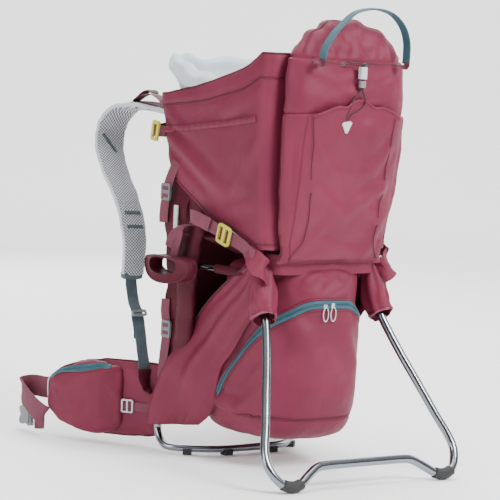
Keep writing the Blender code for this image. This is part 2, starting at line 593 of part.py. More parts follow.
ZS = (-0.1255, 0.288)
joint_empty("zip_slide_1", (-0.019, ZS[0], ZS[1]))
joint_empty("zip_slide_2", (-0.003, ZS[0], ZS[1]))
for i, x in ((1, -0.019), (2, -0.003)):
    block("zip_slider_%d" % i, (x - 0.0045, ZS[0] - 0.002, ZS[1] - 0.0045), (x + 0.0045, ZS[0] + 0.0025, ZS[1] + 0.0045), "white", parent="zip_slide_%d" % i, bevel=0.001)
    joint_empty("pull_axis_%d" % i, (x, ZS[0] - 0.0034, ZS[1] - 0.002))
    bm = bmesh.new()
    rings = []
    for k in range(14):
        a = 2 * math.pi * k / 14
        c = Vector((x, ZS[0] - 0.0036, ZS[1] - 0.014))
        o = Vector((math.cos(a) * 0.0055, 0, math.sin(a) * 0.0120))
        dirn = Vector((math.cos(a), 0, math.sin(a)))
        rings.append([bm.verts.new(c + o + (dirn * math.cos(w) + Vector((0, 1, 0)) * math.sin(w)) * 0.0010)
                      for w in (2 * math.pi * q / 6 for q in range(6))])
    skin(bm, rings, closed=True)
    finish("zip_pull_%d" % i, bm, "white", parent="pull_axis_%d" % i)

# cord lock: a barrel with a through slot for the two strands, and its sprung button
CL = (-0.001, -0.1690, 0.683)
bm = bmesh.new()
oo = [rect(0.0135, 0.0105, r=0.003, k=3), rect(0.0068, 0.0036, r=0.0012, k=3)]
o_, i_ = [], []
for z in (CL[2] - 0.0100, CL[2] + 0.0100):
    o_.append([bm.verts.new((CL[0] + x, CL[1] + y, z)) for x, y in oo[0]])
    i_.append([bm.verts.new((CL[0] + x, CL[1] + y, z)) for x, y in oo[1]])
skin(bm, o_ + i_[::-1], closed=True)
finish("cord_lock_body", bm, "white", angle=30)
joint_empty("lock_button_axis", (CL[0], CL[1], CL[2] - 0.0130))
bm = bmesh.new()
o_, i_ = [], []
for z, e in ((CL[2] - 0.0245, -0.001), (CL[2] - 0.0235, 0.0), (CL[2] - 0.0130, 0.0)):
    o_.append([bm.verts.new((CL[0] + x, CL[1] + y, z)) for x, y in rect(0.0115 + e, 0.0088 + e, r=0.003, k=3)])
    i_.append([bm.verts.new((CL[0] + x, CL[1] + y, z)) for x, y in rect(0.0068, 0.0036, r=0.0012, k=3)])
skin(bm, o_ + i_[::-1], closed=True)
finish("cord_lock_button", bm, "grey", parent="lock_button_axis", angle=30)
TAB = (-0.0290, -0.1672, 0.5925)
yc = CL[1]
cord_route = [(-0.0337, -0.1660, 0.7010), (-0.0240, -0.1680, 0.6985), (-0.0100, yc, 0.6990), (-0.0032, yc, 0.6950), (-0.0025, yc, 0.683), (-0.0025, yc, 0.6560),
              (-0.0075, yc, 0.6490), (-0.0170, yc, 0.6400), (-0.0215, yc, 0.629), (-0.0280, -0.1682, 0.614), (-0.0305, -0.1675, 0.6065), (-0.0280, -0.1675, 0.6048),
              (-0.0250, -0.1675, 0.6075), (-0.0150, -0.1680, 0.6160), (0.0000, yc, 0.6240), (0.0080, yc, 0.6340), (0.0040, yc, 0.647), (0.0005, yc, 0.6560),
              (0.0005, yc, 0.683), (0.0008, yc, 0.6950), (0.0060, yc, 0.6985), (0.0158, -0.1660, 0.7010)]
tube("drawcord", cord_route, 0.00115, "cord", n=8, per=2)
plate("drawcord_tab", [(-0.0105, 0.0045), (-0.007, 0.0075), (0.007, 0.0095), (0.0105, 0.0065), (0.0015, -0.0105), (-0.002, -0.0105)], [],
      (TAB[0], TAB[1] - 0.0005, TAB[2] + 0.0005), (1, 0, 0), (0, 0, 1), 0.0045, "white")
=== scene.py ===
"""Looks of the framed child carrier: fabrics, padding, webbing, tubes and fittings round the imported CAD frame."""
import bpy, bmesh, math
import numpy as np
from mathutils import Vector, Matrix, noise
from mathutils.bvhtree import BVHTree


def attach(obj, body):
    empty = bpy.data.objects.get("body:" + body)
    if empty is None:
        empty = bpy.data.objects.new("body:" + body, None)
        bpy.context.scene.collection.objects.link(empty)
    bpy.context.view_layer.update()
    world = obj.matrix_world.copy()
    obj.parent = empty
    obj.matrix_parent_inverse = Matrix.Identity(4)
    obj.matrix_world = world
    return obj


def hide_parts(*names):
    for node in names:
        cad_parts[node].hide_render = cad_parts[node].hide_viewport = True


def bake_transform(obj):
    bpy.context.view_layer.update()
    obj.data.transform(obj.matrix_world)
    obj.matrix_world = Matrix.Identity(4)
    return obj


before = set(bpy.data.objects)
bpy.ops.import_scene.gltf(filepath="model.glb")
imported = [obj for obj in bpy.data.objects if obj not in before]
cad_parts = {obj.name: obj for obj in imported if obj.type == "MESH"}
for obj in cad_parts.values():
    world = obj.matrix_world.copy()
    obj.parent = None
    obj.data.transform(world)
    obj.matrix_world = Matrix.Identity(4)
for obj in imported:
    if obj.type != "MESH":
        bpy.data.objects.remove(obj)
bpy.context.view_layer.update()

YS = -0.0990                      # the design's y = 0 plane lies here in the row frame
TAU = 2 * math.pi


def D(p):
    return Vector((p[0], p[1] + YS, p[2]))


# ======================= camera, light, floor =======================
scene = bpy.context.scene
A, T, RO = math.radians(37.413), math.radians(5.341), math.radians(2.9875)
fwd0 = Vector((math.sin(A), math.cos(A), 0))
rgt = Vector((math.cos(A), -math.sin(A), 0))
fwd = fwd0 * math.cos(T) + Vector((0, 0, -1)) * math.sin(T)
upv = rgt.cross(fwd)
CR = rgt * math.cos(RO) + upv * math.sin(RO)
CU = -rgt * math.sin(RO) + upv * math.cos(RO)
cpos = D((-2.73700, -3.46262, 0.77838))
cam = bpy.data.cameras.new("camera")
cam.lens = 184.96
cam.sensor_width = 36
cam.clip_end = 60
cob = bpy.data.objects.new("camera", cam)
scene.collection.objects.link(cob)
cob.matrix_world = Matrix(((CR.x, CU.x, -fwd.x, cpos.x), (CR.y, CU.y, -fwd.y, cpos.y), (CR.z, CU.z, -fwd.z, cpos.z), (0, 0, 0, 1)))
scene.camera = cob


def area(name, loc, target, size, power, color=(1, 1, 1)):
    l = bpy.data.lights.new(name, 'AREA')
    l.shape = 'RECTANGLE'
    l.size, l.size_y = size
    l.energy = power
    l.color = color
    o = bpy.data.objects.new(name, l)
    scene.collection.objects.link(o)
    o.location = loc
    o.rotation_euler = (Vector(target) - Vector(loc)).to_track_quat('-Z', 'Y').to_euler()
    return o


area("key", (0.5, -2.6, 2.3), (0, 0, 0.40), (1.2, 1.2), 150)
area("fill_left", (-2.9, -0.4, 1.2), (0, 0.05, 0.40), (1.4, 1.8), 46)
area("top", (0, 0.2, 2.8), (0, 0, 0.3), (2.2, 2.2), 80)
area("front", (0.8, 2.8, 1.5), (0, 0, 0.4), (2.2, 2.0), 46)
area("backdrop", tuple(fwd0 * 4.6 + Vector((0, 0, 6.0))), tuple(fwd0 * 7.8 + Vector((0, 0, 1.2))), (5.0, 3.0), 620)
area("side_right", (2.9, 0.2, 1.3), (0, 0, 0.4), (1.6, 1.8), 26)
w = bpy.data.worlds.new("studio")
w.use_nodes = True
wt = w.node_tree
_g = wt.nodes.new("ShaderNodeTexCoord")
_s = wt.nodes.new("ShaderNodeSeparateXYZ")
wt.links.new(_g.outputs["Generated"], _s.inputs[0])
_r = wt.nodes.new("ShaderNodeValToRGB")
_e = _r.color_ramp.elements
_e[0].position, _e[0].color = 0.0, (0.10, 0.10, 0.105, 1)
_e[1].position, _e[1].color = 0.85, (1, 1, 1, 1)
_k = _e.new(0.28)
_k.color = (0.14, 0.14, 0.15, 1)
wt.links.new(_s.outputs[2], _r.inputs[0])
wt.links.new(_r.outputs[0], wt.nodes["Background"].inputs[0])
wt.nodes["Background"].inputs[1].default_value = 0.80
scene.world = w


# ======================= materials =======================
def new_mat(name):
    m = bpy.data.materials.new(name)
    m.use_nodes = True
    nt = m.node_tree
    b = nt.nodes["Principled BSDF"]
    return m, nt, b


def N(nt, kind, **kw):
    n = nt.nodes.new(kind)
    for k, v in kw.items():
        if k in n.inputs.keys():
            n.inputs[k].default_value = v
        else:
            setattr(n, k, v)
    return n


def ramp(nt, fac, stops):
    r = nt.nodes.new("ShaderNodeValToRGB")
    e = r.color_ramp.elements
    while len(e) < len(stops):
        e.new(0.5)
    for i, (p, c) in enumerate(stops):
        e[i].position = p
        e[i].color = (c[0], c[1], c[2], 1)
    nt.links.new(fac, r.inputs[0])
    return r.outputs[0]


def math_node(nt, op, a, b=None, clamp=False):
    n = nt.nodes.new("ShaderNodeMath")
    n.operation = op
    n.use_clamp = clamp
    for i, v in enumerate((a, b)):
        if v is None:
            continue
        if isinstance(v, (int, float)):
            n.inputs[i].default_value = v
        else:
            nt.links.new(v, n.inputs[i])
    return n.outputs[0]


def weave(nt, co, pitch, angle=0.0):
    """Height of a plain weave: two crossed sets of threads, mapped on three axes by the sum of sines."""
    s = N(nt, "ShaderNodeSeparateXYZ")
    nt.links.new(co, s.inputs[0])
    k = TAU / pitch
    fx = math_node(nt, 'SINE', math_node(nt, 'MULTIPLY', math_node(nt, 'ADD', s.outputs[0], s.outputs[1]), k))
    fz = math_node(nt, 'SINE', math_node(nt, 'MULTIPLY', s.outputs[2], k))
    p = math_node(nt, 'MULTIPLY', fx, fz)
    return math_node(nt, 'ADD', math_node(nt, 'MULTIPLY', p, 0.5), 0.5)


def fabric(name, dark, mid, light, pitch=0.0011, rough=0.55, sheen=0.25, bump=0.25, crease=0.0, crease_scale=28.0, rip=0.0, spec=0.4):
    m, nt, b = new_mat(name)
    tc = N(nt, "ShaderNodeTexCoord")
    co = tc.outputs["Object"]
    big = N(nt, "ShaderNodeTexNoise", Scale=9.0, Detail=3.0, Roughness=0.55)
    nt.links.new(co, big.inputs["Vector"])
    fine = N(nt, "ShaderNodeTexNoise", Scale=420.0, Detail=2.0, Roughness=0.6)
    nt.links.new(co, fine.inputs["Vector"])
    wv = weave(nt, co, pitch)
    mixv = math_node(nt, 'ADD', math_node(nt, 'MULTIPLY', big.outputs[0], 0.62), math_node(nt, 'MULTIPLY', fine.outputs[0], 0.25))
    mixv = math_node(nt, 'ADD', mixv, math_node(nt, 'MULTIPLY', wv, 0.13))
    c = ramp(nt, mixv, [(0.30, dark), (0.50, mid), (0.72, light)])
    nt.links.new(c, b.inputs["Base Color"])
    rr = math_node(nt, 'ADD', math_node(nt, 'MULTIPLY', fine.outputs[0], 0.22), rough - 0.11)
    nt.links.new(rr, b.inputs["Roughness"])
    b.inputs["Sheen Weight"].default_value = sheen
    b.inputs["Sheen Roughness"].default_value = 0.45
    b.inputs["Sheen Tint"].default_value = (light[0] * 1.6, light[1] * 2.2, light[2] * 2.0, 1)
    b.inputs["Specular IOR Level"].default_value = spec
    h = math_node(nt, 'ADD', math_node(nt, 'MULTIPLY', wv, 1.0), math_node(nt, 'MULTIPLY', fine.outputs[0], 0.6))
    if rip:
        s = N(nt, "ShaderNodeSeparateXYZ")
        nt.links.new(co, s.inputs[0])
        for o in (math_node(nt, 'ADD', s.outputs[0], s.outputs[1]), s.outputs[2]):
            q = math_node(nt, 'SINE', math_node(nt, 'MULTIPLY', o, TAU / rip))
            h = math_node(nt, 'ADD', h, math_node(nt, 'MULTIPLY', math_node(nt, 'POWER', math_node(nt, 'ABSOLUTE', q), 24.0), 0.8))
    bp = N(nt, "ShaderNodeBump", Strength=bump, Distance=0.0004)
    nt.links.new(h, bp.inputs["Height"])
    out = bp.outputs[0]
    if crease:
        cr = N(nt, "ShaderNodeTexNoise", Scale=crease_scale, Detail=4.0, Roughness=0.55, Distortion=0.8)
        nt.links.new(co, cr.inputs["Vector"])
        b2 = N(nt, "ShaderNodeBump", Strength=crease, Distance=0.004)
        nt.links.new(cr.outputs[0], b2.inputs["Height"])
        nt.links.new(b2.outputs[0], bp.inputs["Normal"])
    nt.links.new(out, b.inputs["Normal"])
    return m


def webbing_mat(name, dark, mid, light, rough=0.7):
    """Woven tape: fine ribs across with a slight chevron."""
    m, nt, b = new_mat(name)
    tc = N(nt, "ShaderNodeTexCoord")
    co = tc.outputs["Object"]
    s = N(nt, "ShaderNodeSeparateXYZ")
    nt.links.new(co, s.inputs[0])
    a = math_node(nt, 'ADD', math_node(nt, 'MULTIPLY', s.outputs[2], TAU / 0.0016), math_node(nt, 'MULTIPLY', s.outputs[0], TAU / 0.0031))
    a2 = math_node(nt, 'SUBTRACT', math_node(nt, 'MULTIPLY', s.outputs[2], TAU / 0.0016), math_node(nt, 'MULTIPLY', s.outputs[1], TAU / 0.0031))
    r1 = math_node(nt, 'SINE', a)
    r2 = math_node(nt, 'SINE', a2)
    hh = math_node(nt, 'ADD', math_node(nt, 'MULTIPLY', math_node(nt, 'ADD', r1, r2), 0.25), 0.5)
    nz = N(nt, "ShaderNodeTexNoise", Scale=60.0, Detail=3.0)
    nt.links.new(co, nz.inputs["Vector"])
    v = math_node(nt, 'ADD', math_node(nt, 'MULTIPLY', hh, 0.45), math_node(nt, 'MULTIPLY', nz.outputs[0], 0.55))
    c = ramp(nt, v, [(0.25, dark), (0.5, mid), (0.8, light)])
    nt.links.new(c, b.inputs["Base Color"])
    rr = math_node(nt, 'ADD', math_node(nt, 'MULTIPLY', nz.outputs[0], 0.2), rough - 0.1)
    nt.links.new(rr, b.inputs["Roughness"])
    b.inputs["Sheen Weight"].default_value = 0.05
    bp = N(nt, "ShaderNodeBump", Strength=0.5, Distance=0.0004)
    nt.links.new(hh, bp.inputs["Height"])
    nt.links.new(bp.outputs[0], b.inputs["Normal"])
    return m


def mesh_mat(name, dark, mid, light, cell=0.0034, hole_shade_level=0.42):
    """Spacer air mesh: rounded cells in a diamond grid; painted shade darkens the colour from the raised cell tops into
    the holes.
    """
    m, nt, b = new_mat(name)
    tc = N(nt, "ShaderNodeTexCoord")
    co = tc.outputs["Object"]
    s = N(nt, "ShaderNodeSeparateXYZ")
    nt.links.new(co, s.inputs[0])
    k = TAU / cell
    xy = math_node(nt, 'SUBTRACT', s.outputs[0], math_node(nt, 'MULTIPLY', s.outputs[1], 0.35))
    zz = math_node(nt, 'ADD', s.outputs[2], math_node(nt, 'MULTIPLY', s.outputs[1], 0.45))
    a = math_node(nt, 'SINE', math_node(nt, 'MULTIPLY', math_node(nt, 'ADD', xy, zz), k * 0.5))
    c = math_node(nt, 'SINE', math_node(nt, 'MULTIPLY', math_node(nt, 'SUBTRACT', xy, zz), k * 0.5))
    g = math_node(nt, 'MULTIPLY', math_node(nt, 'ABSOLUTE', a), math_node(nt, 'ABSOLUTE', c))
    nz = N(nt, "ShaderNodeTexNoise", Scale=24.0, Detail=3.0)
    nt.links.new(co, nz.inputs["Vector"])
    fine = N(nt, "ShaderNodeTexNoise", Scale=900.0, Detail=1.0)
    nt.links.new(co, fine.inputs["Vector"])
    v = math_node(nt, 'ADD', g, math_node(nt, 'MULTIPLY', math_node(nt, 'SUBTRACT', fine.outputs[0], 0.5), 0.18))
    # painted shade: near-black in the holes, keyed to the cell height g, grading up to the light cell tops
    col = ramp(nt, v, [(hole_shade_level * 0.45, dark), (hole_shade_level, mid), (0.85, light)])
    tint = ramp(nt, nz.outputs[0], [(0.3, (0.86, 0.87, 0.9)), (0.7, (1, 1, 1))])
    mx = N(nt, "ShaderNodeMix", data_type='RGBA', blend_type='MULTIPLY')
    mx.inputs[0].default_value = 1.0
    nt.links.new(col, mx.inputs[6])
    nt.links.new(tint, mx.inputs[7])
    nt.links.new(mx.outputs[2], b.inputs["Base Color"])
    rr = math_node(nt, 'ADD', math_node(nt, 'MULTIPLY', g, -0.15), 0.9)
    nt.links.new(rr, b.inputs["Roughness"])
    b.inputs["Sheen Weight"].default_value = 0.3
    bp = N(nt, "ShaderNodeBump", Strength=0.8, Distance=0.0012)
    nt.links.new(g, bp.inputs["Height"])
    nt.links.new(bp.outputs[0], b.inputs["Normal"])
    return m


def metal_mat(name, col, rough=0.22, grain=0.08):
    """Drawn and polished tube: fine lengthwise draw lines and faint handling marks."""
    m, nt, b = new_mat(name)
    tc = N(nt, "ShaderNodeTexCoord")
    co = tc.outputs["Object"]
    mp = N(nt, "ShaderNodeMapping")
    mp.inputs["Scale"].default_value = (260, 260, 9)
    nt.links.new(co, mp.inputs["Vector"])
    nz = N(nt, "ShaderNodeTexNoise", Scale=1.0, Detail=4.0, Roughness=0.6)
    nt.links.new(mp.outputs[0], nz.inputs["Vector"])
    sm = N(nt, "ShaderNodeTexNoise", Scale=18.0, Detail=5.0, Roughness=0.65)
    nt.links.new(co, sm.inputs["Vector"])
    rr = math_node(nt, 'ADD', math_node(nt, 'MULTIPLY', nz.outputs[0], grain), math_node(nt, 'MULTIPLY', sm.outputs[0], 0.12))
    rr = math_node(nt, 'ADD', rr, rough - 0.10)
    nt.links.new(rr, b.inputs["Roughness"])
    c = ramp(nt, sm.outputs[0], [(0.25, [x * 0.86 for x in col]), (0.6, col), (0.85, [min(1, x * 1.06) for x in col])])
    nt.links.new(c, b.inputs["Base Color"])
    b.inputs["Metallic"].default_value = 1.0
    bp = N(nt, "ShaderNodeBump", Strength=0.06, Distance=0.0002)
    nt.links.new(nz.outputs[0], bp.inputs["Height"])
    nt.links.new(bp.outputs[0], b.inputs["Normal"])
    return m


def plastic_mat(name, col, rough=0.45, var=0.10, grain=500.0, bump=0.15, coat=0.0):
    m, nt, b = new_mat(name)
    tc = N(nt, "ShaderNodeTexCoord")
    co = tc.outputs["Object"]
    nz = N(nt, "ShaderNodeTexNoise", Scale=grain, Detail=3.0, Roughness=0.6)
    nt.links.new(co, nz.inputs["Vector"])
    sm = N(nt, "ShaderNodeTexNoise", Scale=35.0, Detail=4.0)
    nt.links.new(co, sm.inputs["Vector"])
    c = ramp(nt, sm.outputs[0], [(0.3, [x * (1 - var) for x in col]), (0.7, [min(1, x * (1 + var)) for x in col])])
    nt.links.new(c, b.inputs["Base Color"])
    rr = math_node(nt, 'ADD', math_node(nt, 'MULTIPLY', sm.outputs[0], 0.2), rough - 0.1)
    nt.links.new(rr, b.inputs["Roughness"])
    bp = N(nt, "ShaderNodeBump", Strength=bump, Distance=0.0002)
    nt.links.new(nz.outputs[0], bp.inputs["Height"])
    nt.links.new(bp.outputs[0], b.inputs["Normal"])
    b.inputs["Coat Weight"].default_value = coat
    return m


MT = {
    "nylon": fabric("raspberry_nylon", (0.118, 0.011, 0.028), (0.150, 0.015, 0.038), (0.185, 0.022, 0.050), rough=0.56, sheen=0.05, crease=0.6, crease_scale=15.0, spec=0.25),
    "nylon_d": fabric("maroon_nylon", (0.052, 0.004, 0.010), (0.070, 0.006, 0.015), (0.092, 0.010, 0.022), rough=0.56, sheen=0.05, crease=0.5, crease_scale=20.0, spec=0.20),
    "nylon_deep": fabric("deep_maroon", (0.035, 0.003, 0.007), (0.050, 0.004, 0.010), (0.068, 0.007, 0.015), rough=0.7, sheen=0.04, crease=0.2, spec=0.18),
    "nylon_l": fabric("light_raspberry", (0.160, 0.028, 0.056), (0.205, 0.040, 0.075), (0.250, 0.056, 0.096), rough=0.48, sheen=0.12, crease=0.2),
    "thread": fabric("seam_thread", (0.055, 0.004, 0.010), (0.078, 0.006, 0.015), (0.10, 0.010, 0.022), rough=0.7, sheen=0.05, pitch=0.0016, bump=0.6),
    "teal": webbing_mat("teal_tape", (0.010, 0.050, 0.070), (0.018, 0.078, 0.104), (0.036, 0.118, 0.146)),
    "zip": webbing_mat("teal_zip_coil", (0.008, 0.045, 0.065), (0.018, 0.085, 0.115), (0.040, 0.130, 0.165), rough=0.45),
    "slate": webbing_mat("slate_tape", (0.035, 0.055, 0.068), (0.058, 0.085, 0.102), (0.095, 0.130, 0.150)),
    "web_r": webbing_mat("raspberry_tape", (0.100, 0.014, 0.030), (0.135, 0.021, 0.043), (0.180, 0.034, 0.062)),
    "web_d": webbing_mat("maroon_tape", (0.055, 0.004, 0.010), (0.080, 0.007, 0.017), (0.115, 0.013, 0.028)),
    # air mesh: its first colour is the painted shade in the holes
    "mesh": mesh_mat("air_mesh", (0.045, 0.048, 0.060), (0.36, 0.37, 0.41), (0.74, 0.75, 0.79), cell=0.0060, hole_shade_level=0.34),
    "lining": fabric("light_lining", (0.44, 0.475, 0.51), (0.53, 0.565, 0.60), (0.60, 0.635, 0.67), pitch=0.0022, rough=0.85, sheen=0.5, bump=0.4, crease=0.25),
    "tube": metal_mat("polished_aluminium", (0.25, 0.27, 0.295), 0.20),
    "steel": metal_mat("pin_steel", (0.55, 0.55, 0.56), 0.3),
    "rubber": plastic_mat("black_rubber", (0.018, 0.018, 0.019), 0.65, 0.2, 700.0, 0.4),
    "mgrey": plastic_mat("mid_grey_acetal", (0.13, 0.145, 0.15), 0.38),
    "edge": fabric("grey_edge_binding", (0.42, 0.43, 0.47), (0.52, 0.53, 0.57), (0.62, 0.63, 0.67), rough=0.8, sheen=0.3),
    "grey": plastic_mat("grey_acetal", (0.17, 0.19, 0.195), 0.40),
    "lgrey": plastic_mat("light_acetal", (0.50, 0.52, 0.53), 0.40, 0.06),
    "yellow": plastic_mat("olive_yellow_acetal", (0.50, 0.46, 0.045), 0.40, 0.08),
    "cord": webbing_mat("braided_cord", (0.006, 0.002, 0.003), (0.014, 0.004, 0.006), (0.035, 0.011, 0.016)),
}
MT["floor"], _nt, _b = new_mat("pale_floor")
_tc = N(_nt, "ShaderNodeTexCoord")
_nz = N(_nt, "ShaderNodeTexNoise", Scale=6.0, Detail=4.0)
_nt.links.new(_tc.outputs["Object"], _nz.inputs["Vector"])
_c = ramp(_nt, _nz.outputs[0], [(0.3, (0.955, 0.955, 0.955)), (0.7, (0.975, 0.975, 0.975))])
_nt.links.new(_c, _b.inputs["Base Color"])
_b.inputs["Roughness"].default_value = 0.8

bm = bmesh.new()
prof = [(-9.0, 0.0), (6.2, 0.0)] + [(6.2 + 2.2 * math.sin(a), 2.2 - 2.2 * math.cos(a)) for a in (math.pi / 2 * k / 16 for k in range(1, 17))] + [(8.4, 12.0)]
fd = Vector((math.sin(A), math.cos(A), 0))
fr = Vector((math.cos(A), -math.sin(A), 0))
rows = [[bm.verts.new(fd * d + fr * sx + Vector((0, 0, h - 0.0004))) for sx in (-12, 12)] for d, h in prof]
for a_, b_ in zip(rows, rows[1:]):
    bm.faces.new((a_[0], a_[1], b_[1], b_[0]))
me = bpy.data.meshes.new("studio_floor")
bm.to_mesh(me)
bm.free()
me.shade_smooth()
fo = bpy.data.objects.new("studio_floor", me)
scene.collection.objects.link(fo)
me.materials.append(MT["floor"])


# ======================= geometry helpers =======================
def link(name, bm, mats, body="frame", smooth=True, angle=50, recalc=True):
    if recalc:
        bmesh.ops.recalc_face_normals(bm, faces=bm.faces)
    me = bpy.data.meshes.new(name)
    bm.to_mesh(me)
    bm.free()
    ob = bpy.data.objects.new(name, me)
    scene.collection.objects.link(ob)
    for m in (mats if isinstance(mats, (list, tuple)) else [mats]):
        me.materials.append(MT[m])
    if smooth:
        me.shade_smooth()
        me.set_sharp_from_angle(angle=math.radians(angle))
    if body:
        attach(ob, body)
    return ob


def spline(pts, per=6):
    P = [Vector(p) for p in pts]
    out = []
    for i in range(len(P) - 1):
        a = P[i - 1] if i > 0 else P[i] * 2 - P[i + 1]
        b, c = P[i], P[i + 1]
        d = P[i + 2] if i + 2 < len(P) else P[i + 1] * 2 - P[i]
        for k in range(per):
            t = k / per
            out.append(0.5 * ((2 * b) + (c - a) * t + (2 * a - 5 * b + 4 * c - d) * t * t
                              + (3 * b - a - 3 * c + d) * t ** 3))
    out.append(P[-1])
    return out


def frames(P, start=None):
    Tn = [(P[min(i + 1, len(P) - 1)] - P[max(i - 1, 0)]).normalized() for i in range(len(P))]
    n = Vector(start) if start else Tn[0].orthogonal()
    n = (n - Tn[0] * n.dot(Tn[0])).normalized()
    out = []
    for i, t in enumerate(Tn):
        if i:
            n = (n - t * n.dot(t)).normalized()
        out.append((t, n, t.cross(n)))
    return out


def skin(bm, rings, closed=False):
    n, m = len(rings[0]), len(rings)
    for j in range(m if closed else m - 1):
        a, b = rings[j], rings[(j + 1) % m]
        for i in range(n):
            k = (i + 1) % n
            bm.faces.new((a[i], a[k], b[k], b[i]))


def cap(bm, ring):
    c = bm.verts.new(sum((v.co for v in ring), Vector()) / len(ring))
    for i in range(len(ring)):
        bm.faces.new((ring[i], ring[(i + 1) % len(ring)], c))


def loft(name, rings, mats, body="frame", angle=50, caps=True):
    bm = bmesh.new()
    R = [[bm.verts.new(p) for p in r] for r in rings]
    skin(bm, R)
    if caps:
        cap(bm, R[0])
        cap(bm, R[-1])
    return link(name, bm, mats, body, angle=angle)


def tube(name, pts, r, mat, body="frame", n=20, per=6, start=None):
    P = spline(pts, per)
    rings = []
    for i, (p, (t, a, b)) in enumerate(zip(P, frames(P, start))):
        rings.append([p + (a * math.cos(w_) + b * math.sin(w_)) * r for w_ in (TAU * k / n for k in range(n))])
    # small rounded end lips
    e0, e1 = P[0], P[-1]
    r0 = [e0 + (v - e0) * 0.86 + (P[0] - P[1]).normalized() * r * 0.10 for v in rings[0]]
    r1 = [e1 + (v - e1) * 0.86 + (P[-1] - P[-2]).normalized() * r * 0.10 for v in rings[-1]]
    return loft(name, [r0] + rings + [r1], mat, body, angle=60)


def strap_rings(pts, width, dirs, thick, per=6, edge=0.35, crown=0.0, nseg=6, wave=0.0, seed=0.0):
    """Rings of a flat band; the width and its direction run along the path."""
    n = len(pts)
    W = width if isinstance(width, (list, tuple)) else [width] * n
    Dd = dirs if isinstance(dirs[0], (list, tuple, Vector)) else [dirs] * n
    P = spline(pts, per)
    rings, info = [], []
    for i, p in enumerate(P):
        f = min(i / per, n - 1)
        j = min(int(f), n - 2)
        u = f - j
        u = u * u * (3 - 2 * u)
        wd = W[j] * (1 - u) + W[j + 1] * u
        d = Vector(Dd[j]) * (1 - u) + Vector(Dd[j + 1]) * u
        t = (P[min(i + 1, len(P) - 1)] - P[max(i - 1, 0)]).normalized()
        d = (d - t * d.dot(t)).normalized()
        nn = t.cross(d)
        h = thick / 2
        ring = []
        top, bot = [], []
        for k in range(nseg + 1):
            x = -1 + 2 * k / nseg
            c = crown * (1 - x * x)
            wv = wave * noise.noise(Vector((i * 0.35 + seed, x * 1.3, seed)))
            hh = h * (1 if abs(x) < 0.999 else edge)
            top.append(p + d * (x * wd / 2) + nn * (hh + c + wv))
            bot.append(p + d * (x * wd / 2) + nn * (-hh + c * 0.0 + wv - (crown * (1 - x * x) if crown else 0)))
        rings.append(top + bot[::-1])
        info.append((p, t, d, nn, wd))
    return rings, info


def band(name, pts, width, dirs, thick, mat, body="frame", slot=None, per=6, **kw):
    rings, _ = strap_rings(pts, width, dirs, thick, per, **kw)
    return loft(name, rings, mat, body, angle=55)


def stitches(bm, P, nrm, pitch=0.0042, length=0.0026, r=0.00035, lift=0.0002):
    """Short raised threads along a line of points, each lying on the cloth."""
    L = [0.0]
    for a, b in zip(P, P[1:]):
        L.append(L[-1] + (b - a).length)
    s = pitch * 0.5
    j = 0
    while s + length < L[-1]:
        seg = []
        for q in (s, s + length * 0.5, s + length):
            while j < len(L) - 2 and L[j + 1] < q:
                j += 1
            u = (q - L[j]) / max(1e-9, L[j + 1] - L[j])
            seg.append((P[j].lerp(P[j + 1], u), nrm[j].lerp(nrm[j + 1], u).normalized()))
        rings = []
        for k, (p, n_) in enumerate(seg):
            t = (seg[2][0] - seg[0][0]).normalized()
            side = t.cross(n_)
            c = p + n_ * (lift + (r * 0.9 if k == 1 else -r * 0.3))
            rings.append([bm.verts.new(c + side * r), bm.verts.new(c + n_ * r), bm.verts.new(c - side * r), bm.verts.new(c - n_ * r)])
        for a, b in zip(rings, rings[1:]):
            for i in range(4):
                bm.faces.new((a[i], a[(i + 1) % 4], b[(i + 1) % 4], b[i]))
        bm.faces.new(rings[0])
        bm.faces.new(rings[-1])
        s += pitch


def bvh(ob):
    dg = bpy.context.evaluated_depsgraph_get()
    return BVHTree.FromObject(ob, dg)


def on_surface(tree, P, off=0.0):
    """Points moved onto a surface, with its normals."""
    out, nr = [], []
    for p in P:
        q, n_, _, _ = tree.find_nearest(p)
        out.append(q + n_ * off)
        nr.append(n_.copy())
    return out, nr


def seam(name, tree, pts, mat="thread", body="frame", r=0.0009, per=8, off=0.0002, stitch=True, gap=0.0035, relax=0):
    """A sewn seam on a surface: a low cord-like ridge with a row of stitches beside it."""
    P = spline(pts, per)
    S, nr = on_surface(tree, P, off)
    if relax:
        for _ in range(relax):
            S = [S[0]] + [(S[i - 1] + S[i] * 2 + S[i + 1]) / 4 for i in range(1, len(S) - 1)] + [S[-1]]
        S, nr = on_surface(tree, S, off)
    bm = bmesh.new()
    rings = []
    for i, (p, n_) in enumerate(zip(S, nr)):
        t = (S[min(i + 1, len(S) - 1)] - S[max(i - 1, 0)]).normalized()
        side = t.cross(n_).normalized()
        rings.append([bm.verts.new(p + side * r * 1.3 * math.cos(a) + n_ * r * math.sin(a)) for a in (TAU * k / 8 for k in range(8))])
    skin(bm, rings)
    cap(bm, rings[0])
    cap(bm, rings[-1])
    if stitch:
        Q = []
        for i, (p, n_) in enumerate(zip(S, nr)):
            t = (S[min(i + 1, len(S) - 1)] - S[max(i - 1, 0)]).normalized()
            Q.append(p + t.cross(n_).normalized() * gap)
        Q, qn = on_surface(tree, Q, 0.0)
        stitches(bm, Q, qn)
    return link(name, bm, mat, body, angle=60)


def folds(p, lines):
    """Sum of soft fold ridges: each line is (start, end, width, height); it fades at both ends."""
    h = 0.0
    for a, b, w_, amp in lines:
        a, b = Vector(a), Vector(b)
        d = b - a
        t = (p - a).dot(d) / d.length_squared
        if t < -0.15 or t > 1.15:
            continue
        q = a + d * max(0, min(1, t))
        x = (p - q).length / w_
        if x > 2.5:
            continue
        e = max(0.0, min(1.0, (t + 0.1) / 0.3)) * max(0.0, min(1.0, (1.1 - t) / 0.3))
        h += amp * e * (math.exp(-x * x * 1.6) - 0.35 * math.exp(-(x - 1.5) ** 2 * 2.5))
    return h


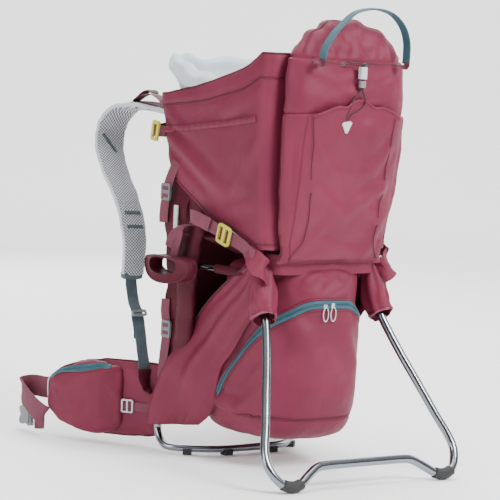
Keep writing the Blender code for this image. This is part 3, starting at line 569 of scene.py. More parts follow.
def puff(name, bm, mats, body, slot, pressure=4.0, move=0.008, voxel=0.005, frames_=20, sub=1, fill=0.6, shrink=0.0, pin=None, declare=True, quick_move=None):
    """Padded cloth: a voxel remesh, then Blender's cloth with air pressure, stopped at `move` from where it began."""
    bmesh.ops.recalc_face_normals(bm, faces=bm.faces)
    me = bpy.data.meshes.new(name)
    bm.to_mesh(me)
    bm.free()
    ob = bpy.data.objects.new(name, me)
    scene.collection.objects.link(ob)
    bpy.context.view_layer.objects.active = ob
    for o in bpy.context.selected_objects:
        o.select_set(False)
    ob.select_set(True)
    md = ob.modifiers.new("remesh", 'REMESH')
    md.mode = 'VOXEL'
    md.voxel_size = voxel
    bpy.ops.object.modifier_apply(modifier=md.name)
    me = ob.data
    rest = np.array([v.co for v in me.vertices], float)
    cl = ob.modifiers.new("cloth", 'CLOTH')
    s = cl.settings
    s.quality = 5
    s.mass = 0.3
    s.tension_stiffness = 18
    s.compression_stiffness = 12
    s.shear_stiffness = 6
    s.bending_stiffness = 0.6
    s.use_pressure = True
    s.uniform_pressure_force = pressure
    s.effector_weights.gravity = 0.0
    s.shrink_min = shrink
    cl.collision_settings.use_collision = False
    cl.collision_settings.use_self_collision = False
    if pin is not None:
        g = ob.vertex_groups.new(name="pin")
        for v in me.vertices:
            k = pin(v.co)
            if k > 0:
                g.add([v.index], k, 'REPLACE')
        s.vertex_group_mass = "pin"
    cl.point_cache.frame_start = 1
    cl.point_cache.frame_end = frames_
    for f in range(1, frames_ + 1):
        scene.frame_set(f)
    dg = bpy.context.evaluated_depsgraph_get()
    ev = ob.evaluated_get(dg)
    co = np.array([v.co for v in ev.data.vertices], float)
    ob.modifiers.remove(cl)
    d = co - rest
    ln = np.linalg.norm(d, axis=1)
    ln[ln < 1e-9] = 1e-9
    d = d / ln[:, None] * (move * np.tanh(ln / move))[:, None]
    me.vertices.foreach_set("co", (rest + d).ravel())
    me.update()
    scene.frame_set(1)
    if sub:
        sm = ob.modifiers.new("smooth", 'SMOOTH')
        sm.iterations = 3
        sm.factor = 0.5
        bpy.ops.object.modifier_apply(modifier=sm.name)
        sb = ob.modifiers.new("sub", 'SUBSURF')
        sb.levels = sub
        sb.render_levels = sub
        bpy.ops.object.modifier_apply(modifier=sb.name)
    for m in (mats if isinstance(mats, (list, tuple)) else [mats]):
        ob.data.materials.append(MT[m])
    ob.data.shade_smooth()
    if body:
        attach(ob, body)
    return ob


def displace(ob, fn):
    """Moves each vertex along its normal by fn(co, normal)."""
    me = ob.data
    nr = [v.normal.copy() for v in me.vertices]
    for v, n_ in zip(me.vertices, nr):
        d = fn(v.co, n_)
        if d:
            v.co = v.co + n_ * d
    me.update()


def set_mat(node, key):
    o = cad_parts[node]
    if not o.material_slots:
        o.data.materials.append(MT[key])
    for s_ in o.material_slots:
        s_.material = MT[key]


def lerp_table(tab, x):
    if x <= tab[0][0]:
        return tab[0][1]
    for (a, va), (b, vb) in zip(tab, tab[1:]):
        if x <= b:
            return va + (vb - va) * (x - a) / (b - a)
    return tab[-1][1]


def sm01(x):
    x = max(0.0, min(1.0, x))
    return x * x * (3 - 2 * x)


# ======================= tubes and fittings =======================
def mirror_path(half):
    return [D(p) for p in half] + [D((-p[0], p[1], p[2])) for p in reversed(half)]


half_main = [(-.1200, .104, .575), (-.1212, .104, .520), (-.1225, .1035, .450), (-.1235, .103, .418), (-.1300, .102, .388),
             (-.1365, .1010, .352), (-.140, .1011, .274), (-.140, .1084, .186), (-.140, .1336, .0944), (-.140, .166, .062),
             (-.140, .1745, .043), (-.140, .1660, .0240), (-.139, .149, .0125), (-.128, .131, .0106), (-.096, .105, .0105),
             (-.065, .0905, .0105), (-.030, .0875, .0105)]
o = tube("main_frame_bow", mirror_path(half_main), .0065, "tube", n=28, per=8, start=(0, 1, 0))
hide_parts("main_frame_tube")
half_seat = [(-.1285, .0840, .335), (-.1270, .040, .335), (-.1230, -.020, .335), (-.112, -.058, .3355), (-.085, -.073, .336), (-.040, -.076, .336)]
o = tube("seat_bow", mirror_path(half_seat), .006, "tube", n=24, per=8, start=(0, 0, 1))
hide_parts("seat_frame_tube")
hs = mirror_path(half_seat)
tube("seat_bow_sleeve", hs[1:-1], .0078, "nylon_deep", n=24, per=8, start=(0, 0, 1))
half_stand = [(-.1175, -.0757, .3120), (-.1233, -.0915, .2819), (-.1300, -.1096, .2496), (-.1464, -.1371, .2005),
              (-.1654, -.1642, .1522), (-.1836, -.1909, .1045), (-.1985, -.2107, .0692), (-.2020, -.2227, .0478),
              (-.1945, -.2340, .0281), (-.1805, -.2415, .0145), (-.1630, -.2440, .0100), (-.1450, -.2422, .0132),
              (-.1230, -.2352, .0257), (-.1030, -.2297, .0354), (-.0850, -.2283, .0380), (-.0400, -.2281, .0384)]
o = tube("kickstand_bow", mirror_path(half_stand), .0074, "tube", body="kickstand", n=28, per=8, start=(0, 1, 0))
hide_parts("kickstand_tube")
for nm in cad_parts:
    base = nm.rsplit("_left", 1)[0].rsplit("_right", 1)[0]
    key = {"upper_cross_tube": "tube", "base_foot_outer": "rubber", "base_foot_inner": "rubber", "kickstand_foot": "rubber",
           "hinge_bracket": "grey", "hinge_pin": "steel", "ladder_lock_upper": "mgrey", "ladder_lock_lower": "mgrey",
           "strap_adjuster": "grey", "side_buckle": "yellow", "corner_buckle": "yellow", "belt_buckle": "grey",
           "cord_lock_body": "lgrey", "cord_lock_button": "grey", "drawcord_tab": "lgrey", "zip_slider_1": "lgrey", "zip_slider_2": "lgrey",
           "zip_pull_1": "lgrey", "zip_pull_2": "lgrey", "harness_buckle": "grey"}.get(base)
    if key:
        set_mat(nm, key)


# ======================= cockpit =======================
RIM = [(-.10, .7060), (-.078, .6925), (-.0534, .680), (-.0264, .672), (.0148, .6615), (.0567, .6508), (.0993, .6417), (.205, .6235)]
HEM = [(-.10, .381), (-.07, .391), (.004, .409), (.079, .422), (.120, .441), (.205, .478)]


def rr_plan(n_side=22, n_corner=8):
    plan = []
    for sx, sy, a0 in ((1, 1, 0), (-1, 1, 90), (-1, -1, 180), (1, -1, 270)):
        for k in range(n_corner + 1):
            a = math.radians(a0 + 90 * k / n_corner)
            plan.append((sx, sy, math.cos(a), math.sin(a)))
        nx, ny = {(1, 1): (-1, 1), (-1, 1): (-1, -1), (-1, -1): (1, -1), (1, -1): (1, 1)}[(sx, sy)]
        for k in range(1, n_side):
            k = k / n_side
            if nx != sx:
                plan.append((sx + (nx - sx) * k, sy, 0.0, float(sy)))
            else:
                plan.append((sx, sy + (ny - sy) * k, float(sx), 0.0))
    return plan


PLAN = rr_plan()


def cockpit_pt(q, t, inset, dz=0.0):
    px, py, cx, cy = q
    r = 0.024 - inset
    yn = (py + 1) / 2
    yr = -.100 + yn * .305
    z = lerp_table(HEM, yr) * (1 - t) + lerp_table(RIM, yr) * t + dz
    front = lerp_table([(.40, .170), (.474, .180), (.6235, .210)], z)
    hw = lerp_table([(.38, .136), (.46, .141), (.62, .149), (.697, .142)], z)
    x = px * (hw - inset - r) + cx * r
    yc = (-.100 + inset + r) + yn * (front + .100 - 2 * inset - 2 * r)
    return Vector((x, yc + cy * r, z))


CFOLD = []
for s_ in (-1, 1):
    X = s_ * .148
    CFOLD += [((X, .185, .560), (X, .02, .470), .016, .0035), ((X, .190, .530), (X, .06, .450), .012, .0026),
              ((X, -.075, .640), (X, .020, .600), .012, .0030), ((X, -.080, .560), (X, -.02, .470), .014, .0026),
              ((X, .185, .600), (X, .12, .560), .010, .0024), ((X, -.07, .455), (X, .03, .430), .012, .0025),
              ((X, -.04, .668), (X, .10, .628), .009, .0022), ((X, .16, .500), (X, .10, .45), .012, .0022)]
CFOLD += [((-.11, .20, .60), (-.04, .19, .50), .016, .003), ((.11, .20, .60), (.04, .19, .50), .016, .003), ((-.07, .2, .55), (.07, .2, .54), .012, .002)]
bm = bmesh.new()
levels = [k / 34 for k in range(35)]
grid = []
outer_w = []
for t in levels:
    row = []
    for q in PLAN:
        p = cockpit_pt(q, t, 0)
        nrm = Vector((q[2], q[3], 0))
        if nrm.length < .1:
            nrm = Vector((q[0], q[1], 0)).normalized()
        e = math.sin(math.pi * min(1, max(0, t)))
        # a band under the rim and a pocket line below it, then soft folds
        band_edge = -.0012 if abs(t - .885) < .012 else (.0016 if t > .9 else 0)
        puffy = .0035 * e * (0.5 + 0.5 * math.sin(abs(p.y) * 21 + 1.0)) if abs(q[2]) > .5 else .001 * e
        h = band_edge + puffy * (1 - sm01((t - .85) / .1)) + 2.2 * folds(p, CFOLD) * e
        h += .0014 * noise.noise(p * 26) * e + .0006 * noise.noise(p * 70)
        row.append(bm.verts.new(D(p + nrm * h)))
    grid.append(row)
rim_roll = []
for a, ins, dz in ((1, .0002, .0022), (2, .0020, .0036), (3, .0042, .0022)):
    rim_roll.append([bm.verts.new(D(cockpit_pt(q, 1.0, ins, dz))) for q in PLAN])
inner = []
for t in reversed(levels[::3]):
    inner.append([bm.verts.new(D(cockpit_pt(q, t, .0052) + Vector((0, 0, 0)) + Vector((q[2], q[3], 0)) * (.0010 * noise.noise(cockpit_pt(q, t, .005) * 40)))) for q in PLAN])
rows_ = grid + rim_roll + inner
n = len(PLAN)
for j in range(len(rows_)):
    a, b = rows_[j], rows_[(j + 1) % len(rows_)]
    for i in range(n):
        k = (i + 1) % n
        f = bm.faces.new((a[i], a[k], b[k], b[i]))
        f.material_index = 1 if j >= len(grid) + 2 and j < len(rows_) - 1 else 0
cock = link("cockpit_cloth", bm, ["nylon", "lining"], angle=75)
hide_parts("cockpit_shell")
CT = bvh(cock)


def ring_line(f):
    pts = []
    for q in PLAN:
        p = f(q)
        if p is not None:
            pts.append(D(p))
    return pts


# rim binding, band seam and hem seam all the way round; the elastic pocket edge on each side
bm = bmesh.new()
rings = []
RP = [D(cockpit_pt(q, 1.0, .0022, .0016)) for q in PLAN]
for i, p in enumerate(RP):
    t = (RP[(i + 1) % n] - RP[i - 1]).normalized()
    o_ = Vector((PLAN[i][2], PLAN[i][3], 0)).normalized()
    u_ = t.cross(o_).normalized()
    rings.append([bm.verts.new(p + o_ * (.0036 * math.cos(a)) + u_ * (.0030 * math.sin(a))) for a in (TAU * k / 10 for k in range(10))])
skin(bm, rings, closed=True)
link("cockpit_rim_binding", bm, "nylon_d", angle=80)
for nm_, tt in (("cockpit_band_seam", .885), ("cockpit_hem_seam", .03)):
    P_ = [D(cockpit_pt(q, tt, 0)) for q in PLAN]
    seam(nm_, CT, P_ + [P_[0]], r=.0008, per=1, gap=.0028)
for side, s in (("left", -1), ("right", 1)):
    P_ = [D((s * .150, y_, z_)) for y_, z_ in ((.180, .5640), (.150, .5675), (.110, .5720), (.060, .5780), (.010, .5850), (-.040, .5925), (-.078, .5985))]
    S, nr = on_surface(CT, spline(P_, 8), .0010)
    bm = bmesh.new()
    R = []
    for i, (p, n_) in enumerate(zip(S, nr)):
        t = (S[min(i + 1, len(S) - 1)] - S[max(i - 1, 0)]).normalized()
        u_ = n_.cross(t).normalized()
        if u_.z < 0:
            u_ = -u_
        pl = .0010 * math.sin(i * 2.1) * (1 if 2 < i < len(S) - 3 else 0)
        R.append([bm.verts.new(p + u_ * y_ + n_ * x_) for y_, x_ in ((-.0055, .0004), (-.0050, .0026 + pl * .4), (0, .0034 + pl), (.0046, .0030 + pl * .5), (.0052, .0006), (0, -.0002))])
    skin(bm, R)
    cap(bm, R[0])
    cap(bm, R[-1])
    link("cockpit_pocket_elastic_" + side, bm, "nylon", angle=80)
    seam("cockpit_front_seam_" + side, CT, [D((s * .150, y_, z_)) for y_, z_ in ((.196, .615), (.193, .58), (.187, .54), (.180, .50))], r=.0007)


# ======================= bags =======================
def oval_pt(hw, y0, y1, z, a, p=3.4, hwf=None):
    c, s = math.cos(a), math.sin(a)
    x = math.copysign(abs(c) ** (2 / p), c)
    y = math.copysign(abs(s) ** (2 / p), s)
    w_ = hw if hwf is None else hw + (hwf - hw) * (y + 1) / 2
    return Vector((x * w_, (y0 + y1) / 2 + y * (y1 - y0) / 2, z))


def table_spline(tab, per=8):
    """Interpolates a table of rows smoothly down its first column."""
    out = []
    for i in range(len(tab) - 1):
        a = tab[max(i - 1, 0)]
        b, c = tab[i], tab[i + 1]
        d = tab[min(i + 2, len(tab) - 1)]
        for k in range(per):
            t = k / per
            row = []
            for A_, B_, C_, D_ in zip(a, b, c, d):
                row.append(0.5 * (2 * B_ + (C_ - A_) * t + (2 * A_ - 5 * B_ + 4 * C_ - D_) * t * t + (3 * B_ - A_ - 3 * C_ + D_) * t ** 3))
            out.append(row)
    out.append(list(tab[-1]))
    return out


def bag_bm(tab, per=6, n=72, p=3.4):
    bm = bmesh.new()
    R = []
    for z, y0, y1, hw, hwf in table_spline(tab, per):
        R.append([bm.verts.new(D(oval_pt(hw, y0, y1, z, TAU * k / n, p, hwf))) for k in range(n)])
    skin(bm, R)
    cap(bm, R[0])
    cap(bm, R[-1])
    return bm


def tape_on(name, tree, pts, width, thick, mat, body="frame", off=0.0006, per=6, nseg=4, smooth_=0):
    S, nr = on_surface(tree, spline(pts, per), off + thick / 2)
    if smooth_:
        for _ in range(smooth_):
            S = [S[0]] + [(S[i - 1] + S[i] * 2 + S[i + 1]) / 4 for i in range(1, len(S) - 1)] + [S[-1]]
        S, nr = on_surface(tree, S, off + thick / 2)
        for _ in range(12):
            S = [S[0]] + [(S[i - 1] + S[i] * 2 + S[i + 1]) / 4 for i in range(1, len(S) - 1)] + [S[-1]]
            nr = [nr[0]] + [(nr[i - 1] + nr[i] * 2 + nr[i + 1]).normalized() for i in range(1, len(S) - 1)] + [nr[-1]]
    bm = bmesh.new()
    R = []
    for i, (p, n_) in enumerate(zip(S, nr)):
        t = (S[min(i + 1, len(S) - 1)] - S[max(i - 1, 0)]).normalized()
        sd = t.cross(n_).normalized()
        top = [p + sd * (width / 2 * (-1 + 2 * k / nseg)) + n_ * (thick / 2 * (0.3 if k in (0, nseg) else 1)) for k in range(nseg + 1)]
        bot = [p + sd * (width / 2 * (-1 + 2 * k / nseg)) - n_ * thick / 2 for k in range(nseg, -1, -1)]
        R.append([bm.verts.new(v) for v in top + bot])
    skin(bm, R)
    bm.faces.new(R[0])
    bm.faces.new(R[-1])
    return link(name, bm, mat, body, angle=60), S, nr


UP_TAB = [(.353, -.108, -.1042, .100, .124), (.365, -.113, -.1042, .1015, .126), (.40, -.120, -.1042, .103, .130), (.47, -.137, -.1042, .106, .136),
          (.54, -.150, -.1042, .107, .140), (.600, -.161, -.1042, .108, .141), (.613, -.162, -.1042, .107, .140)]
up = puff("rear_pocket_body", bag_bm(UP_TAB), "nylon", "frame", "nylon", pressure=2.5, move=.005, voxel=.005, frames_=14)
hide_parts("upper_rear_pocket")
UF = []
for s in (-1, 1):
    UF += [((s * .095, -.165, .57), (s * .02, -.155, .50), .013, .0030), ((s * .09, -.15, .50), (s * .0, -.14, .44), .013, .0028),
           ((s * .03, -.14, .42), (s * .095, -.125, .37), .012, .0028), ((s * .125, -.13, .58), (s * .118, -.12, .45), .010, .0026)]
UF += [((.02, -.15, .55), (.09, -.15, .46), .016, .0035), ((-.06, -.13, .40), (.05, -.125, .375), .010, .0022), ((.09, -.14, .44), (.06, -.12, .36), .014, .003)]
displace(up, lambda p, n_: 1.6 * folds(p - Vector((0, YS, 0)), UF) + .0012 * noise.noise(p * 24) + .0005 * noise.noise(p * 60))
UT = bvh(up)

# the outer panel of the rear pocket: a second layer whose top edge is the open lip
bm = bmesh.new()
NU, NV = 64, 40
front_, back_ = [], []
for j in range(NV + 1):
    v = j / NV
    ra, rb = [], []
    for i in range(NU + 1):
        u = -1 + 2 * i / NU
        zt = .6085 + .030 * (1 - abs(u) ** 1.3) - .006 * math.exp(-((abs(u) - .30) / .12) ** 2)
        z = .3600 + (zt - .3600) * v
        hw = lerp_table([(.36, .094), (.40, .098), (.47, .1005), (.54, .102), (.65, .1025)], z)
        zz = min(z, .606)
        q, n_, _, _ = UT.ray_cast(D((u * hw, -.40, zz)), Vector((0, 1, 0)))
        if q is None:
            q, n_, _, _ = UT.find_nearest(D((u * hw, -.16, zz)))
        edge = 1 - abs(u) ** 5
        lift = .0012 + .0050 * edge * sm01((v - .45) / .55) + .0022 * edge * math.exp(-((v - .985) / .02) ** 2)
        p = Vector((q.x, q.y, z)) + Vector((0, -1, 0)) * lift
        p.y += -.0022 * folds(Vector((p.x, p.y - YS, z)), UF) * 0
        p += Vector((0, -1, 0)) * (.0016 * noise.noise(p * 20) * edge + .8 * folds(Vector((q.x, -.15, z)), [((.02, -.15, .60), (.085, -.15, .50), .016, .0040), ((-.09, -.15, .62), (-.03, -.15, .56), .012, .0026), ((.0, -.15, .48), (.09, -.15, .43), .013, .0030)]))
        ra.append(bm.verts.new(p))
        rb.append(bm.verts.new(p + Vector((0, .0011, 0))))
    front_.append(ra)
    back_.append(rb)
for j in range(NV):
    for i in range(NU):
        bm.faces.new((front_[j][i], front_[j][i + 1], front_[j + 1][i + 1], front_[j + 1][i]))
        bm.faces.new((back_[j][i + 1], back_[j][i], back_[j + 1][i], back_[j + 1][i + 1]))
for i in range(NU):
    for G, j in ((0, 0), (0, NV)):
        bm.faces.new((front_[j][i], front_[j][i + 1], back_[j][i + 1], back_[j][i]))
for j in range(NV):
    for i in (0, NU):
        bm.faces.new((front_[j][i], front_[j + 1][i], back_[j + 1][i], back_[j][i]))
pan = link("rear_pocket_panel", bm, "nylon", angle=80)
PT = bvh(pan)
lip = [front_[NV][i] if False else None for i in range(1)]
LP = []
for i in range(NU + 1):
    u = -1 + 2 * i / NU
    zt = .6085 + .030 * (1 - abs(u) ** 1.3) - .006 * math.exp(-((abs(u) - .30) / .12) ** 2)
    LP.append(D((u * .1025, -.175, zt - .0005)))
seam("rear_pocket_lip_binding", PT, LP, mat="nylon", r=.0016, per=1, off=.0004, gap=.0050)
for side, s in (("left", -1), ("right", 1)):
    PS = [D((s * a, b, c)) for a, b, c in ((.1014, -.170, .6085), (.0915, -.165, .5528), (.0805, -.155, .4858), (.070, -.140, .4095), (.0869, -.130, .384), (.1000, -.120, .3620))]
    PS = [q + Vector((0, -.004, 0)) for q in PS]
    if s > 0:
        PS = [D((s * a, b, c)) for a, b, c in ((.0800, -.174, .6060), (.0800, -.169, .5528), (.0790, -.159, .4858), (.0760, -.144, .4095), (.0860, -.134, .384), (.0960, -.124, .3620))]
    seam("rear_pocket_panel_seam_" + side, PT, PS, r=.0010, off=.0001, gap=.0036, relax=10)
    seam("rear_pocket_gusset_seam_" + side, UT, [D((s * a, b, c)) for a, b, c in ((.141, -.112, .606), (.1395, -.112, .54), (.1355, -.112, .47), (.130, -.111, .40), (.1245, -.110, .362))], r=.0011, gap=.0034)
seam("rear_pocket_bottom_seam", UT, [D((x_, -.125, .3625)) for x_ in (-.096, -.05, 0, .05, .096)], r=.0012, gap=.0036)

# sun roof pocket: the gathered dome over the pocket, with its hem line where the drawcord pulls
HT = [(.6080, -.156, -.1042, .104, .136), (.650, -.157, -.1035, .105, .137), (.692, -.153, -.1020, .104, .133), (.708, -.149, -.1005, .098, .125),
      (.728, -.143, -.0980, .090, .107), (.744, -.138, -.0970, .077, .085), (.758, -.132, -.0980, .057, .062), (.769, -.124, -.1060, .028, .030)]
hood = puff("sun_roof_bag", bag_bm(HT), "nylon", "frame", "nylon", pressure=3.0, move=.006, voxel=.0045, frames_=14)
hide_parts("sun_roof_pocket")


def hood_f(p, n_):
    q = p - Vector((0, YS, 0))
    a = math.atan2(q.x, max(.001, q.z - .66))
    g = sm01((q.z - .700) / .02)
    h = g * (.0022 * math.sin(q.x * 230 + 3 * noise.noise(q * 30)) * math.exp(-((q.z - .712) / .018) ** 2))
    h += g * .0030 * noise.noise(Vector((q.x * 34, q.y * 20, q.z * 46)))
    h += g * .0024 * math.sin(a * 13 + 2.4 * noise.noise(q * 18)) * sm01((q.z - .72) / .03)
    h += (1 - g) * (.0022 * noise.noise(Vector((q.x * 16, 0, q.z * 40))) + .0008 * noise.noise(q * 60))
    h -= .0030 * math.exp(-((q.z - .7005 - .004 * abs(q.x) / .1) / .0022) ** 2)
    h += folds(q, [((-.1, -.16, .69), (-.03, -.16, .66), .010, .003), ((.1, -.16, .69), (.03, -.16, .665), .010, .003), ((-.05, -.16, .65), (.06, -.16, .655), .009, .0022)])
    return h


displace(hood, hood_f)
HT_ = bvh(hood)
seam("sun_roof_hem_seam", HT_, [D((x_, -.17, .7005 + .004 * abs(x_) / .1)) for x_ in (-.100, -.07, -.035, 0, .035, .07, .100)], r=.0011, gap=.0040, off=-.0004)
seam("sun_roof_crown_seam", HT_, [D(q) for q in ((-.097, -.13, .7085), (-.084, -.125, .737), (-.058, -.122, .757), (0, -.118, .775), (.058, -.122, .757), (.084, -.125, .737), (.097, -.13, .7085))], r=.0010)
for side, s in (("left", -1), ("right", 1)):
    seam("sun_roof_side_seam_" + side, HT_, [D((s * a, b, c)) for a, b, c in ((.1285, -.115, .650), (.119, -.114, .680), (.1045, -.113, .703), (.096, -.110, .722))], r=.0010)

# lower pack bag
LB = [(.054, -.078, .076, .070, .088), (.062, -.096, .100, .085, .110), (.085, -.109, .112, .093, .122), (.13, -.118, .113, .0975, .125),
      (.20, -.122, .111, .0985, .122), (.262, -.121, .106, .098, .116), (.282, -.121, .100, .090, .108), (.315, -.120, .095, .088, .105), (.3400, -.1145, .090, .086, .100), (.3500, -.108, .080, .080, .094)]
low = puff("lower_pack_bag", bag_bm(LB), "nylon", "frame", "nylon", pressure=3.0, move=.006, voxel=.0055, frames_=14)
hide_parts("lower_bag")
LF = [((-.08, -.12, .31), (-.03, -.12, .345), .010, .003), ((.08, -.12, .31), (.03, -.12, .345), .010, .003), ((-.02, -.12, .30), (.04, -.12, .33), .010, .0022),
      ((-.09, -.12, .27), (-.02, -.12, .20), .022, .0030), ((.02, -.12, .24), (.09, -.12, .16), .020, .0030), ((-.06, -.12, .15), (.06, -.12, .12), .016, .0022)]
for s in (-1, 1):
    X = s * .115
    LF += [((X, -.10, .27), (X, .02, .13), .014, .004), ((X, -.08, .30), (X, .05, .16), .012, .003), ((X, -.02, .10), (X, .09, .12), .014, .003), ((X, -.09, .16), (X, .0, .08), .014, .003)]
displace(low, lambda p, n_: 1.7 * folds(p - Vector((0, YS, 0)), LF) + .0018 * noise.noise(p * 18) + .0006 * noise.noise(p * 55)
         - .0022 * math.exp(-((p.z - (.092 + .12 * max(0, (p.y - YS)))) / .003) ** 2))
LT = bvh(low)
ZIPP = [(-.1215, .0317, .1219), (-.1200, .0087, .1548), (-.1150, -.0298, .2033), (-.110, -.0601, .2400), (-.104, -.0937, .2640), (-.0897, -.121, .2790),
        (-.0474, -.124, .290), (-.0151, -.125, .2908), (.0179, -.125, .2886), (.0474, -.124, .2895), (.0897, -.121, .2790), (.104, -.0937, .2640), (.110, -.0601, .2400), (.1150, -.0298, .2033), (.1200, .0087, .1548), (.1215, .0317, .1219)]
zt_, ZS, ZN = tape_on("main_zip_tape", LT, [D(q) for q in ZIPP], .0135, .0014, "teal", off=.0010, per=10, smooth_=60)
# coil: two rows of small teeth along the tape's middle
bm = bmesh.new()
L_ = [0.0]
for a, b in zip(ZS, ZS[1:]):
    L_.append(L_[-1] + (b - a).length)
s_, j = .001, 0
while s_ < L_[-1] - .001:
    while j < len(L_) - 2 and L_[j + 1] < s_:
        j += 1
    u = (s_ - L_[j]) / max(1e-9, L_[j + 1] - L_[j])
    p = ZS[j].lerp(ZS[j + 1], u)
    n_ = ZN[j].lerp(ZN[j + 1], u).normalized()
    t = (ZS[j + 1] - ZS[j]).normalized()
    sd = t.cross(n_).normalized()
    vs = []
    for cx, cn, ct in ((-.0021, .0004, -.0006), (.0021, .0004, -.0006), (.0021, .0004, .0006), (-.0021, .0004, .0006), (-.0015, .0016, -.0004), (.0015, .0016, -.0004), (.0015, .0016, .0004), (-.0015, .0016, .0004)):
        vs.append(bm.verts.new(p + sd * cx + n_ * cn + t * ct))
    for f in ((0, 1, 2, 3), (4, 5, 6, 7), (0, 1, 5, 4), (1, 2, 6, 5), (2, 3, 7, 6), (3, 0, 4, 7)):
        bm.faces.new([vs[k] for k in f])
    s_ += .0019
link("main_zip_coil", bm, "zip", angle=30)
for k, dd in enumerate((-.0092, .0092)):
    PP = []
    for i, (p, n_) in enumerate(zip(ZS, ZN)):
        t = (ZS[min(i + 1, len(ZS) - 1)] - ZS[max(i - 1, 0)]).normalized()
        PP.append(p + t.cross(n_).normalized() * dd)
    seam("main_zip_edge_%d" % (k + 1), LT, PP, mat="nylon", r=.0014, per=1, off=.0003, gap=.0026 if dd > 0 else -.0026)
tuck = [(-.1180, -.055), (-.1120, -.082), (-.1000, -.0985), (-.084, -.1030), (-.04, -.1035), (0, -.1035), (.04, -.1035), (.084, -.1030), (.1000, -.0985), (.1120, -.082), (.1180, -.055)]
band("bag_tuck_strip", [D((x_, y_, .3560)) for x_, y_ in tuck], .0340, (0, 0, 1), .0028, "nylon", slot="nylon", per=5, wave=.0010)
BS = []
for k in range(41):
    a = math.pi * (1.0 + k / 40)
    q = oval_pt(.094, -.110, .104, 0, a, 3.4, .119)
    z_ = .092 + .12 * max(0, q.y)
    BS.append(D((q.x * 1.02, q.y, z_)))
seam("lower_bag_bottom_seam", LT, BS, r=.0012, per=2, gap=.0036)


